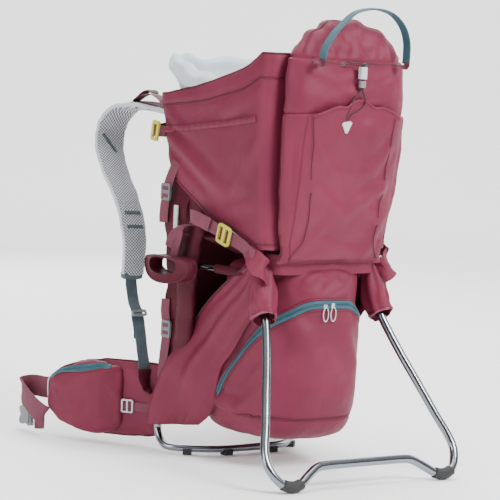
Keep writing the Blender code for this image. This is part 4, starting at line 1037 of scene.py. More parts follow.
# ======================= side drapes and hinge covers =======================
FRONT_E = [(-.040, .3925), (-.043, .3555), (-.003, .329), (.064, .278), (.102, .238), (.123, .201), (.143, .163), (.164, .124), (.180, .086), (.190, .046)]
BACK_E = [(-.070, .392), (-.083, .340), (-.080, .292), (-.040, .242), (-.010, .200), (.020, .168), (.032, .134), (.036, .106), (.052, .080), (.084, .057)]
for side, s in (("left", -1), ("right", 1)):
    F_ = spline([(0, a, b) for a, b in FRONT_E], 6)
    B_ = spline([(0, a, b) for a, b in BACK_E], 6)
    bm = bmesh.new()
    NU = 26
    fr_, bk_ = [], []
    for j, (a, b) in enumerate(zip(F_, B_)):
        v = j / (len(F_) - 1)
        r0, r1 = [], []
        for i in range(NU + 1):
            u = i / NU
            p = a.lerp(b, u)
            # the cloth rounds from the frame tube back onto the bag's flank
            x = lerp_table([(0, .1175), (.12, .1270), (.35, .1320), (.7, .1285), (1, .1180)], u)
            x += .0035 * math.sin(math.pi * v)
            x += .0300 * sm01((v - .44) / .26) * sm01(1.25 * (1 - u))
            crease = .0058 * math.sin(u * 9.5 + 1.6 * math.sin(v * 4.0) + .4) * sm01(v / .15)
            crease += .0034 * math.sin(u * 17 + v * 5 + 1.2) * sm01(v / .2)
            crease += .0030 * noise.noise(Vector((p.y * 22, p.z * 14, 3.1 * s)))
            crease *= math.sin(math.pi * min(1, .08 + .92 * u)) ** .5
            x += crease
            q = D((s * x, p.y, p.z))
            r0.append(bm.verts.new(q))
            r1.append(bm.verts.new(q - Vector((s * .0022, 0, 0))))
        fr_.append(r0)
        bk_.append(r1)
    m_ = len(F_)
    for j in range(m_ - 1):
        for i in range(NU):
            bm.faces.new((fr_[j][i], fr_[j][i + 1], fr_[j + 1][i + 1], fr_[j + 1][i]))
            bm.faces.new((bk_[j][i + 1], bk_[j][i], bk_[j + 1][i], bk_[j + 1][i + 1]))
        for i in (0, NU):
            bm.faces.new((fr_[j][i], fr_[j + 1][i], bk_[j + 1][i], bk_[j][i]))
    for i in range(NU):
        for j in (0, m_ - 1):
            bm.faces.new((fr_[j][i], fr_[j][i + 1], bk_[j][i + 1], bk_[j][i]))
    dr = link("side_drape_cloth_" + side, bm, "nylon", angle=80)
    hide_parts("side_drape_" + side)
    DT = bvh(dr)
    ed = [D((s * .135, a.y, a.z)) for a in F_[2:]]
    seam("side_drape_front_binding_" + side, DT, ed, mat="nylon_d", r=.0022, per=1, off=.0002, gap=-.0050 * s)

    # soft cover over the kickstand hinge: gathered at the top, flared round the tube below
    bm = bmesh.new()
    pth = spline([(s * .1125, -.070, .352), (s * .1165, -.075, .338), (s * .1200, -.081, .318), (s * .1230, -.087, .298), (s * .1250, -.094, .281), (s * .1275, -.1015, .2655)], 7)
    fl = frames(pth, (0, 1, 0))
    R = []
    nn = 40
    rad = [(0, .0115), (.15, .0165), (.4, .0215), (.7, .0232), (.9, .0205), (1, .0188)]
    for pas in (0, 1):
        seq = range(len(pth)) if pas == 0 else range(len(pth) - 1, -1, -1)
        for i in seq:
            v = i / (len(pth) - 1)
            t, a, b = fl[i]
            r_ = lerp_table(rad, v) - (.0018 if pas else 0)
            ring = []
            for k in range(nn):
                w_ = TAU * k / nn
                rr = r_ * (1 + .10 * math.sin(3 * w_ + 5 * v + s) * v + .05 * math.sin(7 * w_ - 4 * v) + .16 * noise.noise(Vector((math.cos(w_) * 1.6, math.sin(w_) * 1.6, v * 3.2 + s))))
                p = pth[i] + (a * math.cos(w_) * 1.05 + b * math.sin(w_)) * rr
                p.z -= .006 * sm01((v - .8) / .2) * math.sin(w_ + 1.0)
                ring.append(bm.verts.new(D(p)))
            R.append(ring)
    skin(bm, R, closed=True)
    hc = link("hinge_cover_" + side, bm, "nylon", body=None, angle=80)
    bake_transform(hc)
    HC = bvh(hc)
    t, a, b = fl[-3]
    c_ = D(pth[-3])
    bm = bmesh.new()
    R = []
    ringp = []
    for k in range(41):
        w_ = TAU * k / 40
        ringp.append(c_ + (a * math.cos(w_) + b * math.sin(w_)) * .022)
    S, nr = on_surface(HC, ringp, .0004)
    for i in range(40):
        t2 = (S[(i + 1) % 40] - S[i - 1]).normalized()
        sd = t2.cross(nr[i]).normalized()
        R.append([bm.verts.new(S[i] + sd * .0022 * math.cos(q_) + nr[i] * .0014 * math.sin(q_)) for q_ in (TAU * k / 8 for k in range(8))])
    skin(bm, R, closed=True)
    hb = link("hinge_cover_hem_" + side, bm, "nylon_l", body=None, angle=80)
    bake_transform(hb)


# ======================= hip fins, belt =======================
FINP = [(-.127, .180), (-.136, .208), (-.152, .245), (-.174, .285), (-.198, .325), (-.220, .358), (-.236, .384)]
FZ0 = [.022, .016, .011, .010, .018, .030, .050]
FZ1 = [.150, .152, .153, .151, .143, .128, .104]
FH = [.006, .009, .009, .009, .009, .008, .005]
FB = [0, 0, .006, .022, .028, .021, .004]


def fin_sample(per=6):
    P = spline([(a, b, 0) for a, b in FINP], per)
    out = []
    for i, p in enumerate(P):
        f = min(i / per, len(FINP) - 1)
        tab = lambda T_: lerp_table(list(enumerate(T_)), f)
        t = (P[min(i + 1, len(P) - 1)] - P[max(i - 1, 0)]).normalized()
        out.append((p, t, Vector((t.y, -t.x, 0)), tab(FZ0), tab(FZ1), tab(FH), tab(FB), f))
    return out


for side, s in (("left", -1), ("right", 1)):
    def M(v):
        return D((v.x * (-s), v.y, v.z))
    smp = fin_sample()
    # pad: outward normal on the left side points to -x
    bm = bmesh.new()
    R = []
    for p, t, n_, z0, z1, h, bu, f in smp:
        n_ = n_ if n_.x < 0 else -n_
        ring = []
        for k in range(28):
            a = TAU * k / 28
            c, sn = math.cos(a), math.sin(a)
            u = math.copysign(abs(c) ** .55, c)
            v = math.copysign(abs(sn) ** .75, sn)
            q = p + n_ * (u * h)
            q.z = (z0 + z1) / 2 + v * (z1 - z0) / 2
            ring.append(bm.verts.new(M(q)))
        R.append(ring)
    skin(bm, R)
    cap(bm, R[0])
    cap(bm, R[-1])
    pad = puff("hip_fin_pad_" + side, bm, "nylon", "hip_fin_" + side, "nylon", pressure=4.0, move=.004, voxel=.0045, frames_=12)
    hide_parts("hip_fin_" + side)
    # zipped pocket on the outer face
    bm = bmesh.new()
    R = []
    for p, t, n_, z0, z1, h, bu, f in smp:
        if f < 2.15 or f > 5.80:
            continue
        n_ = n_ if n_.x < 0 else -n_
        e = math.sin(math.pi * (f - 2.15) / 3.65) ** .45
        zc, zh = (z0 + z1) / 2 - .001, (z1 - z0) / 2 * (.60 + .38 * e)
        d = .004 + max(bu, .004) * 1.0
        ring = []
        for k in range(30):
            a = TAU * k / 30
            c, sn = math.cos(a), math.sin(a)
            u = max(0, c) ** .55 * d - (.004 if c < 0 else 0) * abs(c) ** .5
            v = math.copysign(abs(sn) ** .62, sn)
            q = p + n_ * (h + u)
            q.z = zc + v * zh
            ring.append(bm.verts.new(M(q)))
        R.append(ring)
    skin(bm, R)
    cap(bm, R[0])
    cap(bm, R[-1])
    pk = puff("hip_pocket_" + side, bm, "nylon", "hip_fin_" + side, "nylon", pressure=3.0, move=.005, voxel=.0042, frames_=12)
    pf = []
    for (p, t, n_, z0, z1, h, bu, f) in smp[::5]:
        pass
    displace(pk, lambda q, n_: .0024 * noise.noise(q * 34) + .0010 * noise.noise(q * 80) - .0016 * math.exp(-((q.z - .128) / .002) ** 2) * 0
             + .0022 * math.sin((q.z + q.y * .6) * 150 + 2 * noise.noise(q * 20)) * math.exp(-((q.z - .135) / .014) ** 2))
    PKT = bvh(pk)
    zl = []
    for p, t, n_, z0, z1, h, bu, f in smp:
        if 2.55 <= f <= 5.35:
            n_ = n_ if n_.x < 0 else -n_
            q = p + n_ * (h + bu * .62 + .004)
            q.z = z1 - .0125 - .002 * math.sin((f - 2.55) / 2.8 * math.pi)
            zl.append(M(q))
    tp, S2, N2 = tape_on("hip_pocket_zip_" + side, PKT, zl, .0125, .0012, "teal", body="hip_fin_" + side, off=.0006, per=2)
    seam("hip_pocket_zip_edge_" + side, PKT, [a + Vector((0, 0, -.0085)) for a in S2], mat="nylon", body="hip_fin_" + side, r=.0012, per=1, gap=.003)
    bm = bmesh.new()
    for i in range(0, len(S2) - 1):
        for fr2 in (0.0, .5):
            p = S2[i].lerp(S2[i + 1], fr2)
            t = (S2[i + 1] - S2[i]).normalized()
            n_ = N2[i]
            sd = t.cross(n_).normalized()
            vs = [bm.verts.new(p + sd * cx + n_ * cn + t * ct) for cx, cn, ct in ((-.0018, .0005, -.0006), (.0018, .0005, -.0006), (.0018, .0005, .0006), (-.0018, .0005, .0006), (-.0012, .0015, -.0004), (.0012, .0015, -.0004), (.0012, .0015, .0004), (-.0012, .0015, .0004))]
            for f_ in ((0, 1, 2, 3), (4, 5, 6, 7), (0, 1, 5, 4), (1, 2, 6, 5), (2, 3, 7, 6), (3, 0, 4, 7)):
                bm.faces.new([vs[k] for k in f_])
    link("hip_pocket_zip_coil_" + side, bm, "zip", body="hip_fin_" + side, angle=30)
    # pull cord at the front end of the zip
    e0 = S2[-1]
    tube_pts = [e0 + Vector((0, 0, .002)), e0 + Vector((-s * -.003, .004, -.002)), e0 + Vector((s * .004, .006, -.016)), e0 + Vector((s * .003, .0055, -.034)), e0 + Vector((s * .0005, .003, -.046))]
    tube("hip_pocket_pull_" + side, tube_pts, .0013, "lgrey", body="hip_fin_" + side, n=10, per=5)
    # the pad's edge binding along its lower and upper edges
    PDT = bvh(pad)
    for nm_, zz, r_ in (("lower", 0, .0014), ("upper", 1, .0014)):
        pts = []
        for p, t, n_, z0, z1, h, bu, f in smp[1:-1]:
            q = p.copy()
            q.z = z0 if zz == 0 else z1
            pts.append(M(q))
        seam("hip_fin_edge_%s_%s" % (nm_, side), PDT, pts, mat="nylon_d", body="hip_fin_" + side, r=.0021, per=1, off=0, stitch=False)
    # stabiliser strap from the frame along the fin, with its ladder lock
    st = [Vector((-.1335, .182, .0705)), Vector((-.1440, .205, .0705)), Vector((-.1580, .236, .0700)), Vector((-.1740, .264, .0695)), Vector((-.186, .284, .0695))]
    S3 = [M(v) for v in st]
    S3a, n3 = on_surface(PDT, spline(S3[1:], 4), .0020)
    bandpts = [M(st[0]) + Vector((s * .004, -.006, 0)), M(st[0]) + Vector((s * .003, .004, 0))] + S3a[1:]
    band("stabiliser_strap_" + side, bandpts, .0155, (0, 0, 1), .0018, "web_r", body="hip_fin_" + side, slot="nylon", per=2)
    k_ = len(S3a) // 3
    p0, n0 = S3a[k_], n3[k_]
    t0 = (S3a[k_ + 1] - S3a[k_ - 1]).normalized()
    sd = t0.cross(n0).normalized()
    bm = bmesh.new()

    def bar(a, b, w1, w2, th):
        d_ = (b - a).normalized()
        up_ = n0
        ax = d_.cross(up_).normalized()
        vs = []
        for e_, p_ in ((0, a), (1, b)):
            for x_, y_ in ((-w1 / 2, -th / 2), (w1 / 2, -th / 2), (w1 / 2, th / 2), (-w1 / 2, th / 2)):
                vs.append(bm.verts.new(p_ + ax * x_ + up_ * y_))
        for f_ in ((0, 1, 2, 3), (4, 5, 6, 7), (0, 1, 5, 4), (1, 2, 6, 5), (2, 3, 7, 6), (3, 0, 4, 7)):
            bm.faces.new([vs[q_] for q_ in f_])
    cc = p0 + n0 * .0030
    for dx in (-.0105, .0105):
        bar(cc + sd * dx - t0 * .0105, cc + sd * dx + t0 * .0105, .0030, 0, .0032)
    for dt in (-.0105, 0, .0105):
        bar(cc + t0 * dt - sd * .0105, cc + t0 * dt + sd * .0105, .0032, 0, .0030)
    lk = link("stabiliser_ladder_lock_" + side, bm, "lgrey", body="hip_fin_" + side, angle=30)
    bv = lk.modifiers.new("round", 'BEVEL')
    bv.width = .0007
    bv.segments = 2
    # waist belt tape
    bw = [(-.2375, .3905, .084), (-.2385, .418, .083), (-.2405, .438, .080), (-.2480, .446, .076), (-.2560, .436, .070), (-.2605, .412, .060),
          (-.2620, .388, .050), (-.2590, .368, .040), (-.2520, .366, .033), (-.2480, .385, .0285), (-.2490, .402, .0260)]
    bp_ = [Vector((-.2260, .372, .0835))] + [Vector(v) for v in bw[:-1]] + [Vector((-.2490, .4030, .0262))]
    bw_dirs = [(0, 0, 1)] * 8 + [(.25, 0, 1), (.1, .1, 1), (0, 0, 1), (0, 0, 1)]
    bo = band("waist_belt_tape_" + side, [M(v) for v in bp_], .0385, [(0, 0, 1)] * len(bp_), .0017, "web_r", body="hip_fin_" + side, slot="nylon", per=7, crown=0.0, wave=.0012, seed=s * 2.0)
    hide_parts("belt_webbing_" + side)


# ======================= shoulder straps =======================
SP = [(-.055, .2225, .566), (-.066, .262, .588), (-.080, .304, .597), (-.092, .339, .597), (-.104, .369, .589), (-.115, .387, .568),
      (-.122, .391, .540), (-.128, .379, .508), (-.132, .352, .474), (-.135, .318, .440), (-.137, .291, .405), (-.139, .274, .365),
      (-.141, .270, .330), (-.142, .272, .296)]
SW = [.046, .050, .055, .059, .061, .062, .062, .060, .058, .056, .054, .052, .049, .044]
for side, s in (("left", -1), ("right", 1)):
    body = "shoulder_strap_" + side
    P = spline([(a * -s, b, c) for a, b, c in SP], 7)
    n_ = len(P)
    bm = bmesh.new()
    R = []
    info = []
    for i, p in enumerate(P):
        t = (P[min(i + 1, n_ - 1)] - P[max(i - 1, 0)]).normalized()
        wd = lerp_table(list(enumerate(SW)), i / 7)
        d = Vector((1, 0, 0))
        d = (d - t * d.dot(t)).normalized()
        nr = t.cross(d)          # outward (away from the wearer's shoulder) on the arch
        info.append((p, t, d, nr, wd))
        ring = []
        for k in range(28):
            a = TAU * k / 28
            c, sn = math.cos(a), math.sin(a)
            ring.append(bm.verts.new(D(p + d * (math.copysign(abs(c) ** .7, c) * wd / 2) + nr * (math.copysign(abs(sn) ** .7, sn) * .0058))))
        R.append(ring)
    skin(bm, R)
    cap(bm, R[0])
    cap(bm, R[-1])
    sp = puff("shoulder_pad_" + side, bm, ["mesh", "nylon_d"], body, "mesh", pressure=4.0, move=.004, voxel=.0040, frames_=12)
    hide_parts("shoulder_strap_" + side)
    # the outer face is maroon cloth, the face on the wearer is air mesh
    PC = [D(x[0]) for x in info]
    me = sp.data
    kd = np.array([tuple(q) for q in PC])
    for f in me.polygons:
        c = f.center
        j = int(np.argmin(((kd - np.array(c)) ** 2).sum(1)))
        f.material_index = 1 if (c - PC[j]).dot(info[j][3]) * (1 if info[10][3].z * 1 > 0 else -1) > .0012 else 0
    ST = bvh(sp)
    # edge bindings down both sides
    for e, sg in (("inner", -s), ("outer", s)):
        rr = []
        bm = bmesh.new()
        for i, (p, t, d, nr, wd) in enumerate(info):
            q = D(p + d * (sg * wd / 2 * .985))
            qq, nn_, _, _ = ST.find_nearest(q + d * (sg * .004))
            rr.append([bm.verts.new(qq + d * sg * (.0018 * math.cos(a) - .0006) + nr * .0042 * math.sin(a)) for a in (TAU * k / 10 for k in range(10))])
        skin(bm, rr)
        cap(bm, rr[0])
        cap(bm, rr[-1])
        link("shoulder_strap_binding_%s_%s" % (e, side), bm, "edge", body=body, angle=80)
    # quilted bars across the mesh and a webbing run on the outer face
    for kk, i0 in enumerate((46, 70, 74)):
        if i0 >= n_:
            continue
        p, t, d, nr, wd = info[i0]
        line = [D(p + d * (x_ * wd) - nr * .012 * (1 if info[10][3].z > 0 else -1)) for x_ in (-.33, -.16, 0, .16, .33)]
        if kk == 0:
            line = [D(info[min(n_ - 1, i0 + int(q_))][0] + d * (x_ * wd) - nr * .012 * (1 if info[10][3].z > 0 else -1)) for x_, q_ in ((-.28, -3), (-.14, -1), (0, 1), (.14, 3))]
        tape_on("shoulder_mesh_slot_%s_%d" % (side, kk), ST, line, .0062, .0010, "slate", body=body, off=.0002, per=3)
    up_ = 1 if info[10][3].z > 0 else -1
    line = [D(info[i][0] + info[i][3] * up_ * .012) for i in range(4, n_ - 6, 4)]
    tape_on("shoulder_outer_tape_" + side, ST, line, .020, .0012, "web_d", body=body, off=.0002, per=3)
    for kk, i0 in enumerate((38, 62)):
        p, t, d, nr, wd = info[i0]
        line = [D(p + d * (x_ * wd) + nr * up_ * .014) for x_ in (-.42, -.2, 0, .2, .42)]
        tape_on("shoulder_bar_tack_%s_%d" % (side, kk), ST, line, .004, .0012, "thread", body=body, off=.0014, per=3)
    # dark tab sewn over the lower end, holding the adjuster tape
    p, t, d, nr, wd = info[-1]
    bm = bmesh.new()
    R = []
    for k, (dz, w__, th) in enumerate(((.009, .040, .0068), (.006, .0430, .0078), (.0, .0430, .0078), (-.003, .042, .0070), (-.005, .034, .0040))):
        c = D(p) + Vector((0, 0, dz))
        R.append([bm.verts.new(c + d * (w__ / 2 * math.copysign(abs(math.cos(a)) ** .5, math.cos(a))) + nr * (th * math.copysign(abs(math.sin(a)) ** .6, math.sin(a)))) for a in (TAU * q / 20 for q in range(20))])
    skin(bm, R)
    cap(bm, R[0])
    cap(bm, R[-1])
    link("shoulder_strap_end_tab_" + side, bm, "slate", body=body, angle=80)
    # adjusting tape: from the strap's end through the adjuster to the foot of the frame column
    wp = [(-.142, .2735, .300), (-.142, .2725, .285), (-.143, .262, .255), (-.146, .240, .2275), (-.149, .224, .190), (-.152, .211, .162), (-.1535, .204, .145), (-.1552, .198, .122)]
    W_ = [D((a * -s, b, c)) for a, b, c in wp]
    wb = band("strap_tape_" + side, W_, .0235, (1, 0, 0), .0017, "slate", body=None, slot="slate", per=7, wave=.0010, seed=s * 1.3)
    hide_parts("strap_webbing_" + side)
    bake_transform(wb)
    band("strap_tape_anchor_" + side, [D((a * -s, b, c)) for a, b, c in ((-.1556, .1995, .1400), (-.1562, .1968, .1240), (-.1545, .1925, .1080), (-.1480, .1870, .0980))], [.0270, .0290, .0300, .0300], [(1, 0, 0), (1, .2, 0), (1, .6, 0), (.8, 1, 0)], .0036, "nylon_d", slot="dark_nylon", per=6, wave=.0010)
    tail = [(-.1457, .2445, .2400), (-.1453, .2470, .2370), (-.1463, .2440, .2250), (-.1480, .2350, .2080), (-.1490, .2300, .1900)]
    band("strap_tape_tail_" + side, [D((a * -s, b, c)) for a, b, c in tail], .0215, (1, 0, 0), .0015, "slate", body=body, slot="slate", per=6, wave=.0008, seed=s * 4.3)
    # load lifter: a loop of tape from the top of the strap arch to the frame
    lf = [(-.098, .346, .6045), (-.1005, .330, .6115), (-.105, .302, .6185), (-.111, .268, .6190), (-.117, .236, .6100), (-.122, .2125, .5960)]
    Lf = [D((a * -s, b, c)) for a, b, c in lf]
    lo = band("load_lifter_" + side, Lf, .0185, (1, 0, 0), .0018, "web_d", body=None, slot="dark_nylon", per=6, wave=.0006)
    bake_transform(lo)
    band("load_lifter_tail_" + side, [D((a * -s, b, c)) for a, b, c in ((-.0985, .336, .6105), (-.0965, .318, .6225), (-.0985, .298, .6260), (-.102, .285, .6215))], .0180, (1, 0, 0), .0016, "web_d", body=body, slot="dark_nylon", per=6)


# ======================= back: column sleeves, board, pads, webbing =======================
def pad(name, x0, x1, y0, y1, z0, z1, mats, body, slot, r=.35, move=.006, voxel=.005, bow=0.0, taper=1.0, **kw):
    bm = bmesh.new()
    R = []
    nz = 18
    for j in range(nz + 1):
        v = j / nz
        e = math.sin(math.pi * min(max(v, .02), .98)) ** .14
        ring = []
        for k in range(48):
            a = TAU * k / 48
            c, sn = math.cos(a), math.sin(a)
            x = math.copysign(abs(c) ** .30, c) * (x1 - x0) / 2 * e * (1 + (taper - 1) * v)
            y = math.copysign(abs(sn) ** .6, sn) * (y1 - y0) / 2 * e
            y += bow * (x / ((x1 - x0) / 2)) ** 2
            ring.append(bm.verts.new(D(((x0 + x1) / 2 + x, (y0 + y1) / 2 + y, z0 + (z1 - z0) * v))))
        R.append(ring)
    skin(bm, R)
    cap(bm, R[0])
    cap(bm, R[-1])
    return puff(name, bm, mats, body, slot, move=move, voxel=voxel, **kw)


ub = pad("upper_back_cushion", -.120, .120, .127, .158, .330, .452, ["mesh"], "frame", "mesh", pressure=4, frames_=12)
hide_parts("back_pad_upper")
displace(ub, lambda p, n_: -.0045 * math.exp(-(p.x / .006) ** 2) if n_.y > .3 else 0)
lb = pad("lumbar_cushion", -.122, .122, .127, .176, .170, .300, ["mesh"], "frame", "mesh", pressure=4, frames_=12)
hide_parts("lumbar_pad")
displace(lb, lambda p, n_: -.005 * math.exp(-(p.x / .007) ** 2) if n_.y > .3 else 0)
# the board between the cushions, covered in dark cloth, with the two dark sleeve columns over the frame tube
bm = bmesh.new()
R = []
for z, hw in ((.100, .118), (.140, .120), (.20, .1205), (.30, .120), (.40, .119), (.50, .116), (.560, .112)):
    ring = []
    for k in range(48):
        a = TAU * k / 48
        c, sn = math.cos(a), math.sin(a)
        x = math.copysign(abs(c) ** .25, c) * hw
        y0_ = .1215 + (.028 * sm01((.20 - z) / .12)) + (.030 * sm01((z - .46) / .10))
        ring.append(bm.verts.new(D((x, y0_ + math.copysign(abs(sn) ** .8, sn) * .0042, z))))
    R.append(ring)
skin(bm, R)
cap(bm, R[0])
cap(bm, R[-1])
bd = puff("back_panel_cloth", bm, "nylon_deep", "frame", "dark_nylon", pressure=1.5, move=.003, voxel=.0050, frames_=10)
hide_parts("back_board")
for side, s in (("left", -1), ("right", 1)):
    col = [(-.1215, .106, .556), (-.1225, .108, .500), (-.1235, .1085, .430), (-.1300, .107, .388), (-.1365, .106, .352), (-.139, .107, .300), (-.1385, .110, .230),
           (-.1385, .116, .185), (-.1375, .124, .145)]
    P = spline([(a * -s, b, c) for a, b, c in col], 7)
    fl = frames(P, (0, 1, 0))
    bm = bmesh.new()
    R = []
    for i, (p, (t, a, b)) in enumerate(zip(P, fl)):
        v = i / (len(P) - 1)
        rr0 = .0125 + .0065 * math.sin(math.pi * v) ** .6
        ring = []
        for k in range(26):
            w_ = TAU * k / 26
            rr = rr0 * (1 + .10 * noise.noise(Vector((math.cos(w_) * 1.4, math.sin(w_) * 1.4, v * 9 + s))) + .05 * math.sin(v * 60 + 2 * math.cos(w_)))
            ring.append(bm.verts.new(D(p + a * math.cos(w_) * rr * 1.35 + b * math.sin(w_) * rr * .62)))
        R.append(ring)
    skin(bm, R)
    cap(bm, R[0])
    cap(bm, R[-1])
    sl = puff("column_sleeve_" + side, bm, "nylon_d", "frame", "dark_nylon", pressure=2.0, move=.003, voxel=.0045, frames_=8)
    # raspberry webbing down the column through the two ladder locks, with a loose tail
    cw = [(-.1440, .1480, .5100), (-.1462, .1540, .4960), (-.1485, .1600, .4800), (-.1500, .1655, .4600), (-.1500, .1655, .4520), (-.1500, .170, .4350), (-.1500, .172, .4180), (-.1495, .172, .4020)]
    band("column_tape_" + side, [D((a * -s, b, c)) for a, b, c in cw], .0205, (.15 * s, 1, 0), .0017, "web_r", slot="nylon", per=6, wave=.0006)
    cw2 = [(-.1470, .158, .2700), (-.1480, .156, .2450), (-.1485, .1480, .2220), (-.1485, .1480, .2140), (-.1480, .152, .1900), (-.1475, .156, .1600), (-.1470, .160, .1300)]
    band("column_tape_lower_" + side, [D((a * -s, b, c)) for a, b, c in cw2], .0205, (.15 * s, 1, 0), .0017, "web_r", slot="nylon", per=6, wave=.0006)
    bm = bmesh.new()
    G0, G1 = [], []
    for j in range(31):
        v = j / 30
        z_ = .105 + .395 * v
        ya = lerp_table([(.10, .150), (.14, .138), (.20, .124), (.30, .118), (.51, .118)], z_)
        yb = lerp_table([(.10, .172), (.16, .164), (.22, .160), (.30, .166), (.36, .176), (.44, .1745), (.51, .170)], z_) + .003 * noise.noise(Vector((s, z_ * 22, 0)))
        a_, b_ = [], []
        for i in range(9):
            u = i / 8
            x_ = .1405 - .0085 * sm01((z_ - .425) / .03) - .0045 * sm01((z_ - .27) / .03) * (1 - sm01((z_ - .37) / .03)) + .0030 * u + .0030 * noise.noise(Vector((u * 2.2, z_ * 26, s))) + .0018 * math.sin(z_ * 90 + u * 3)
            q = D((s * x_, ya + (yb - ya) * u, z_))
            a_.append(bm.verts.new(q))
            b_.append(bm.verts.new(q - Vector((s * .0050 * (1 - .6 * u), 0, 0))))
        G0.append(a_)
        G1.append(b_)
    for j in range(30):
        for i in range(8):
            bm.faces.new((G0[j][i], G0[j][i + 1], G0[j + 1][i + 1], G0[j + 1][i]))
            bm.faces.new((G1[j][i + 1], G1[j][i], G1[j + 1][i], G1[j + 1][i + 1]))
        for i in (0, 8):
            bm.faces.new((G0[j][i], G0[j + 1][i], G1[j + 1][i], G1[j][i]))
    for i in range(8):
        for j in (0, 30):
            bm.faces.new((G0[j][i], G0[j][i + 1], G1[j][i + 1], G1[j][i]))
    link("column_flange_" + side, bm, "nylon_d", angle=80)
    cbs = [(-.1495, .1780, .5600), (-.1505, .1900, .5600), (-.1525, .1985, .5600), (-.1535, .2050, .5600), (-.1500, .2100, .5605), (-.1380, .2120, .5620), (-.1200, .2110, .5650)]
    band("corner_strap_" + side, [D((a * -s, b, c)) for a, b, c in cbs], .0195, (0, 0, 1), .0018, "web_d", slot="dark_nylon", per=6)
    # mesh strip beside the column
    ms = [(-.1465, .140, .4350), (-.1470, .139, .41), (-.147, .138, .385), (-.1465, .137, .36)]
    band("column_mesh_" + side, [D((a * -s, b, c)) for a, b, c in ms], .0110, (0, 1, 0), .0045, "lining", slot="mesh", per=6, edge=.5)


# ======================= stirrups, side entry straps =======================
for side, s in (("left", -1), ("right", 1)):
    body = "stirrup_" + side
    bm = bmesh.new()
    # a boat shaped foot loop, open through the middle, hung from its strap
    outer_, inner_ = [], []
    for k in range(48):
        a = TAU * k / 48
        c, sn = math.cos(a), math.sin(a)
        yy = .116 + .064 * math.copysign(abs(c) ** .9, c)
        up_ = .026 if sn > 0 else -.0185
        zz = .323 + up_ * abs(sn) ** (.8 if sn < 0 else .9) + (.010 * (abs(c) ** 2.5))
        outer_.append((yy, zz))
        inner_.append((.120 + (yy - .116) * .62, .325 + (zz - .323) * (.40 if sn < 0 else .80) + .001))
    R = []
    for x_, f_ in ((-.0190, .92), (-.0195, 1.0), (-.0100, 1.03), (0, 1.04), (.0100, 1.03), (.0195, 1.0), (.0190, .92)):
        R.append([bm.verts.new(D((s * (.1700) + x_ * (1 - .55 * abs((a[0] - .116) / .064) ** 2.4), .116 + (a[0] - .116) * f_, .323 + (a[1] - .323) * f_ + .0012 * noise.noise(Vector((a[0] * 40, a[1] * 40, x_ * 90)))))) for a in outer_])
    for x_, f_ in ((.0180, 1.0), (.0092, 1.0), (0, 1.0), (-.0092, 1.0), (-.0180, 1.0)):
        R.append([bm.verts.new(D((s * (.1700) + x_ * (1 - .55 * abs((a[0] - .116) / .064) ** 2.4), a[0], a[1]))) for a in inner_])
    skin(bm, R, closed=True)
    st = link("stirrup_loop_" + side, bm, "nylon_d", body=body, angle=75)
    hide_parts("stirrup_" + side)
    SB = bvh(st)
    for e in (-.0180, .0180):
        pts = [D((s * .1700 + e * (1 - .55 * abs((a[0] - .116) / .064) ** 2.4), a[0], a[1])) for a in outer_] 
        seam("stirrup_edge_%s_%s" % ("a" if e < 0 else "b", side), SB, pts + [pts[0]], mat="nylon_d", body=body, r=.0014, per=1, gap=-.003 if e * s < 0 else .003)
    hp = [(-.166, .100, .394), (-.1672, .102, .380), (-.1688, .106, .364), (-.1700, .110, .347)]
    band("stirrup_hanger_" + side, [D((a * -s, b, c)) for a, b, c in hp], .020, (0, 1, 0), .0018, "web_r", body=body, slot="nylon", per=6, wave=.0006)
    tl = [(-.1655, .104, .3930), (-.1680, .112, .3890), (-.1700, .119, .3790), (-.1710, .123, .3650)]
    band("stirrup_tail_" + side, [D((a * -s, b, c)) for a, b, c in tl], .017, (.2 * s, 1, .2), .0016, "web_r", body=body, slot="nylon", per=6, wave=.0010)
    # anchor loop holding the hanger to the column
    al = [(-.1420, .1010, .404), (-.1520, .1005, .404), (-.1610, .1005, .402), (-.1655, .101, .397), (-.1655, .102, .391), (-.1600, .103, .388), (-.1490, .1035, .388)]
    band("stirrup_anchor_" + side, [D((a * -s, b, c)) for a, b, c in al], .020, (0, 1, 0), .0018, "web_r", body="frame", slot="nylon", per=6)
    # side entry strap: doubled tape with its folded keeper and the yellow buckle on it
    sp_ = [(-.1550, .078, .4200), (-.1545, .070, .418), (-.1535, .040, .413), (-.1505, -.010, .399), (-.1465, -.050, .386), (-.1455, -.085, .370)]
    P_ = [D((a * -s, b, c)) for a, b, c in sp_]
    se = band("side_entry_tape_" + side, P_, .0215, (0, .28, 1), .0019, "web_r", slot="nylon", per=7, wave=.0008, seed=s * 6.0)
    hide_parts("side_entry_strap_" + side)
    lp = [(-.1575, .026, .4115), (-.1610, .046, .4175), (-.1615, .066, .4215), (-.1580, .080, .4215), (-.1530, .080, .4190), (-.1510, .060, .4160), (-.1512, .034, .4105)]
    band("side_entry_fold_" + side, [D((a * -s, b, c)) for a, b, c in lp], .0235, (0, .28, 1), .0018, "web_r", slot="nylon", per=7, wave=.0010, seed=s * 8.0)
    tri = [(-.1460, -.070, .3780), (-.1430, -.085, .3640), (-.1340, -.098, .3480), (-.1250, -.092, .3400)]
    band("side_entry_anchor_" + side, [D((a * -s, b, c)) for a, b, c in tri], [.024, .034, .044, .046], [(0, .5, 1)] * 4, .0035, "nylon", slot="nylon", per=7, wave=.0020, seed=s * 9.0)


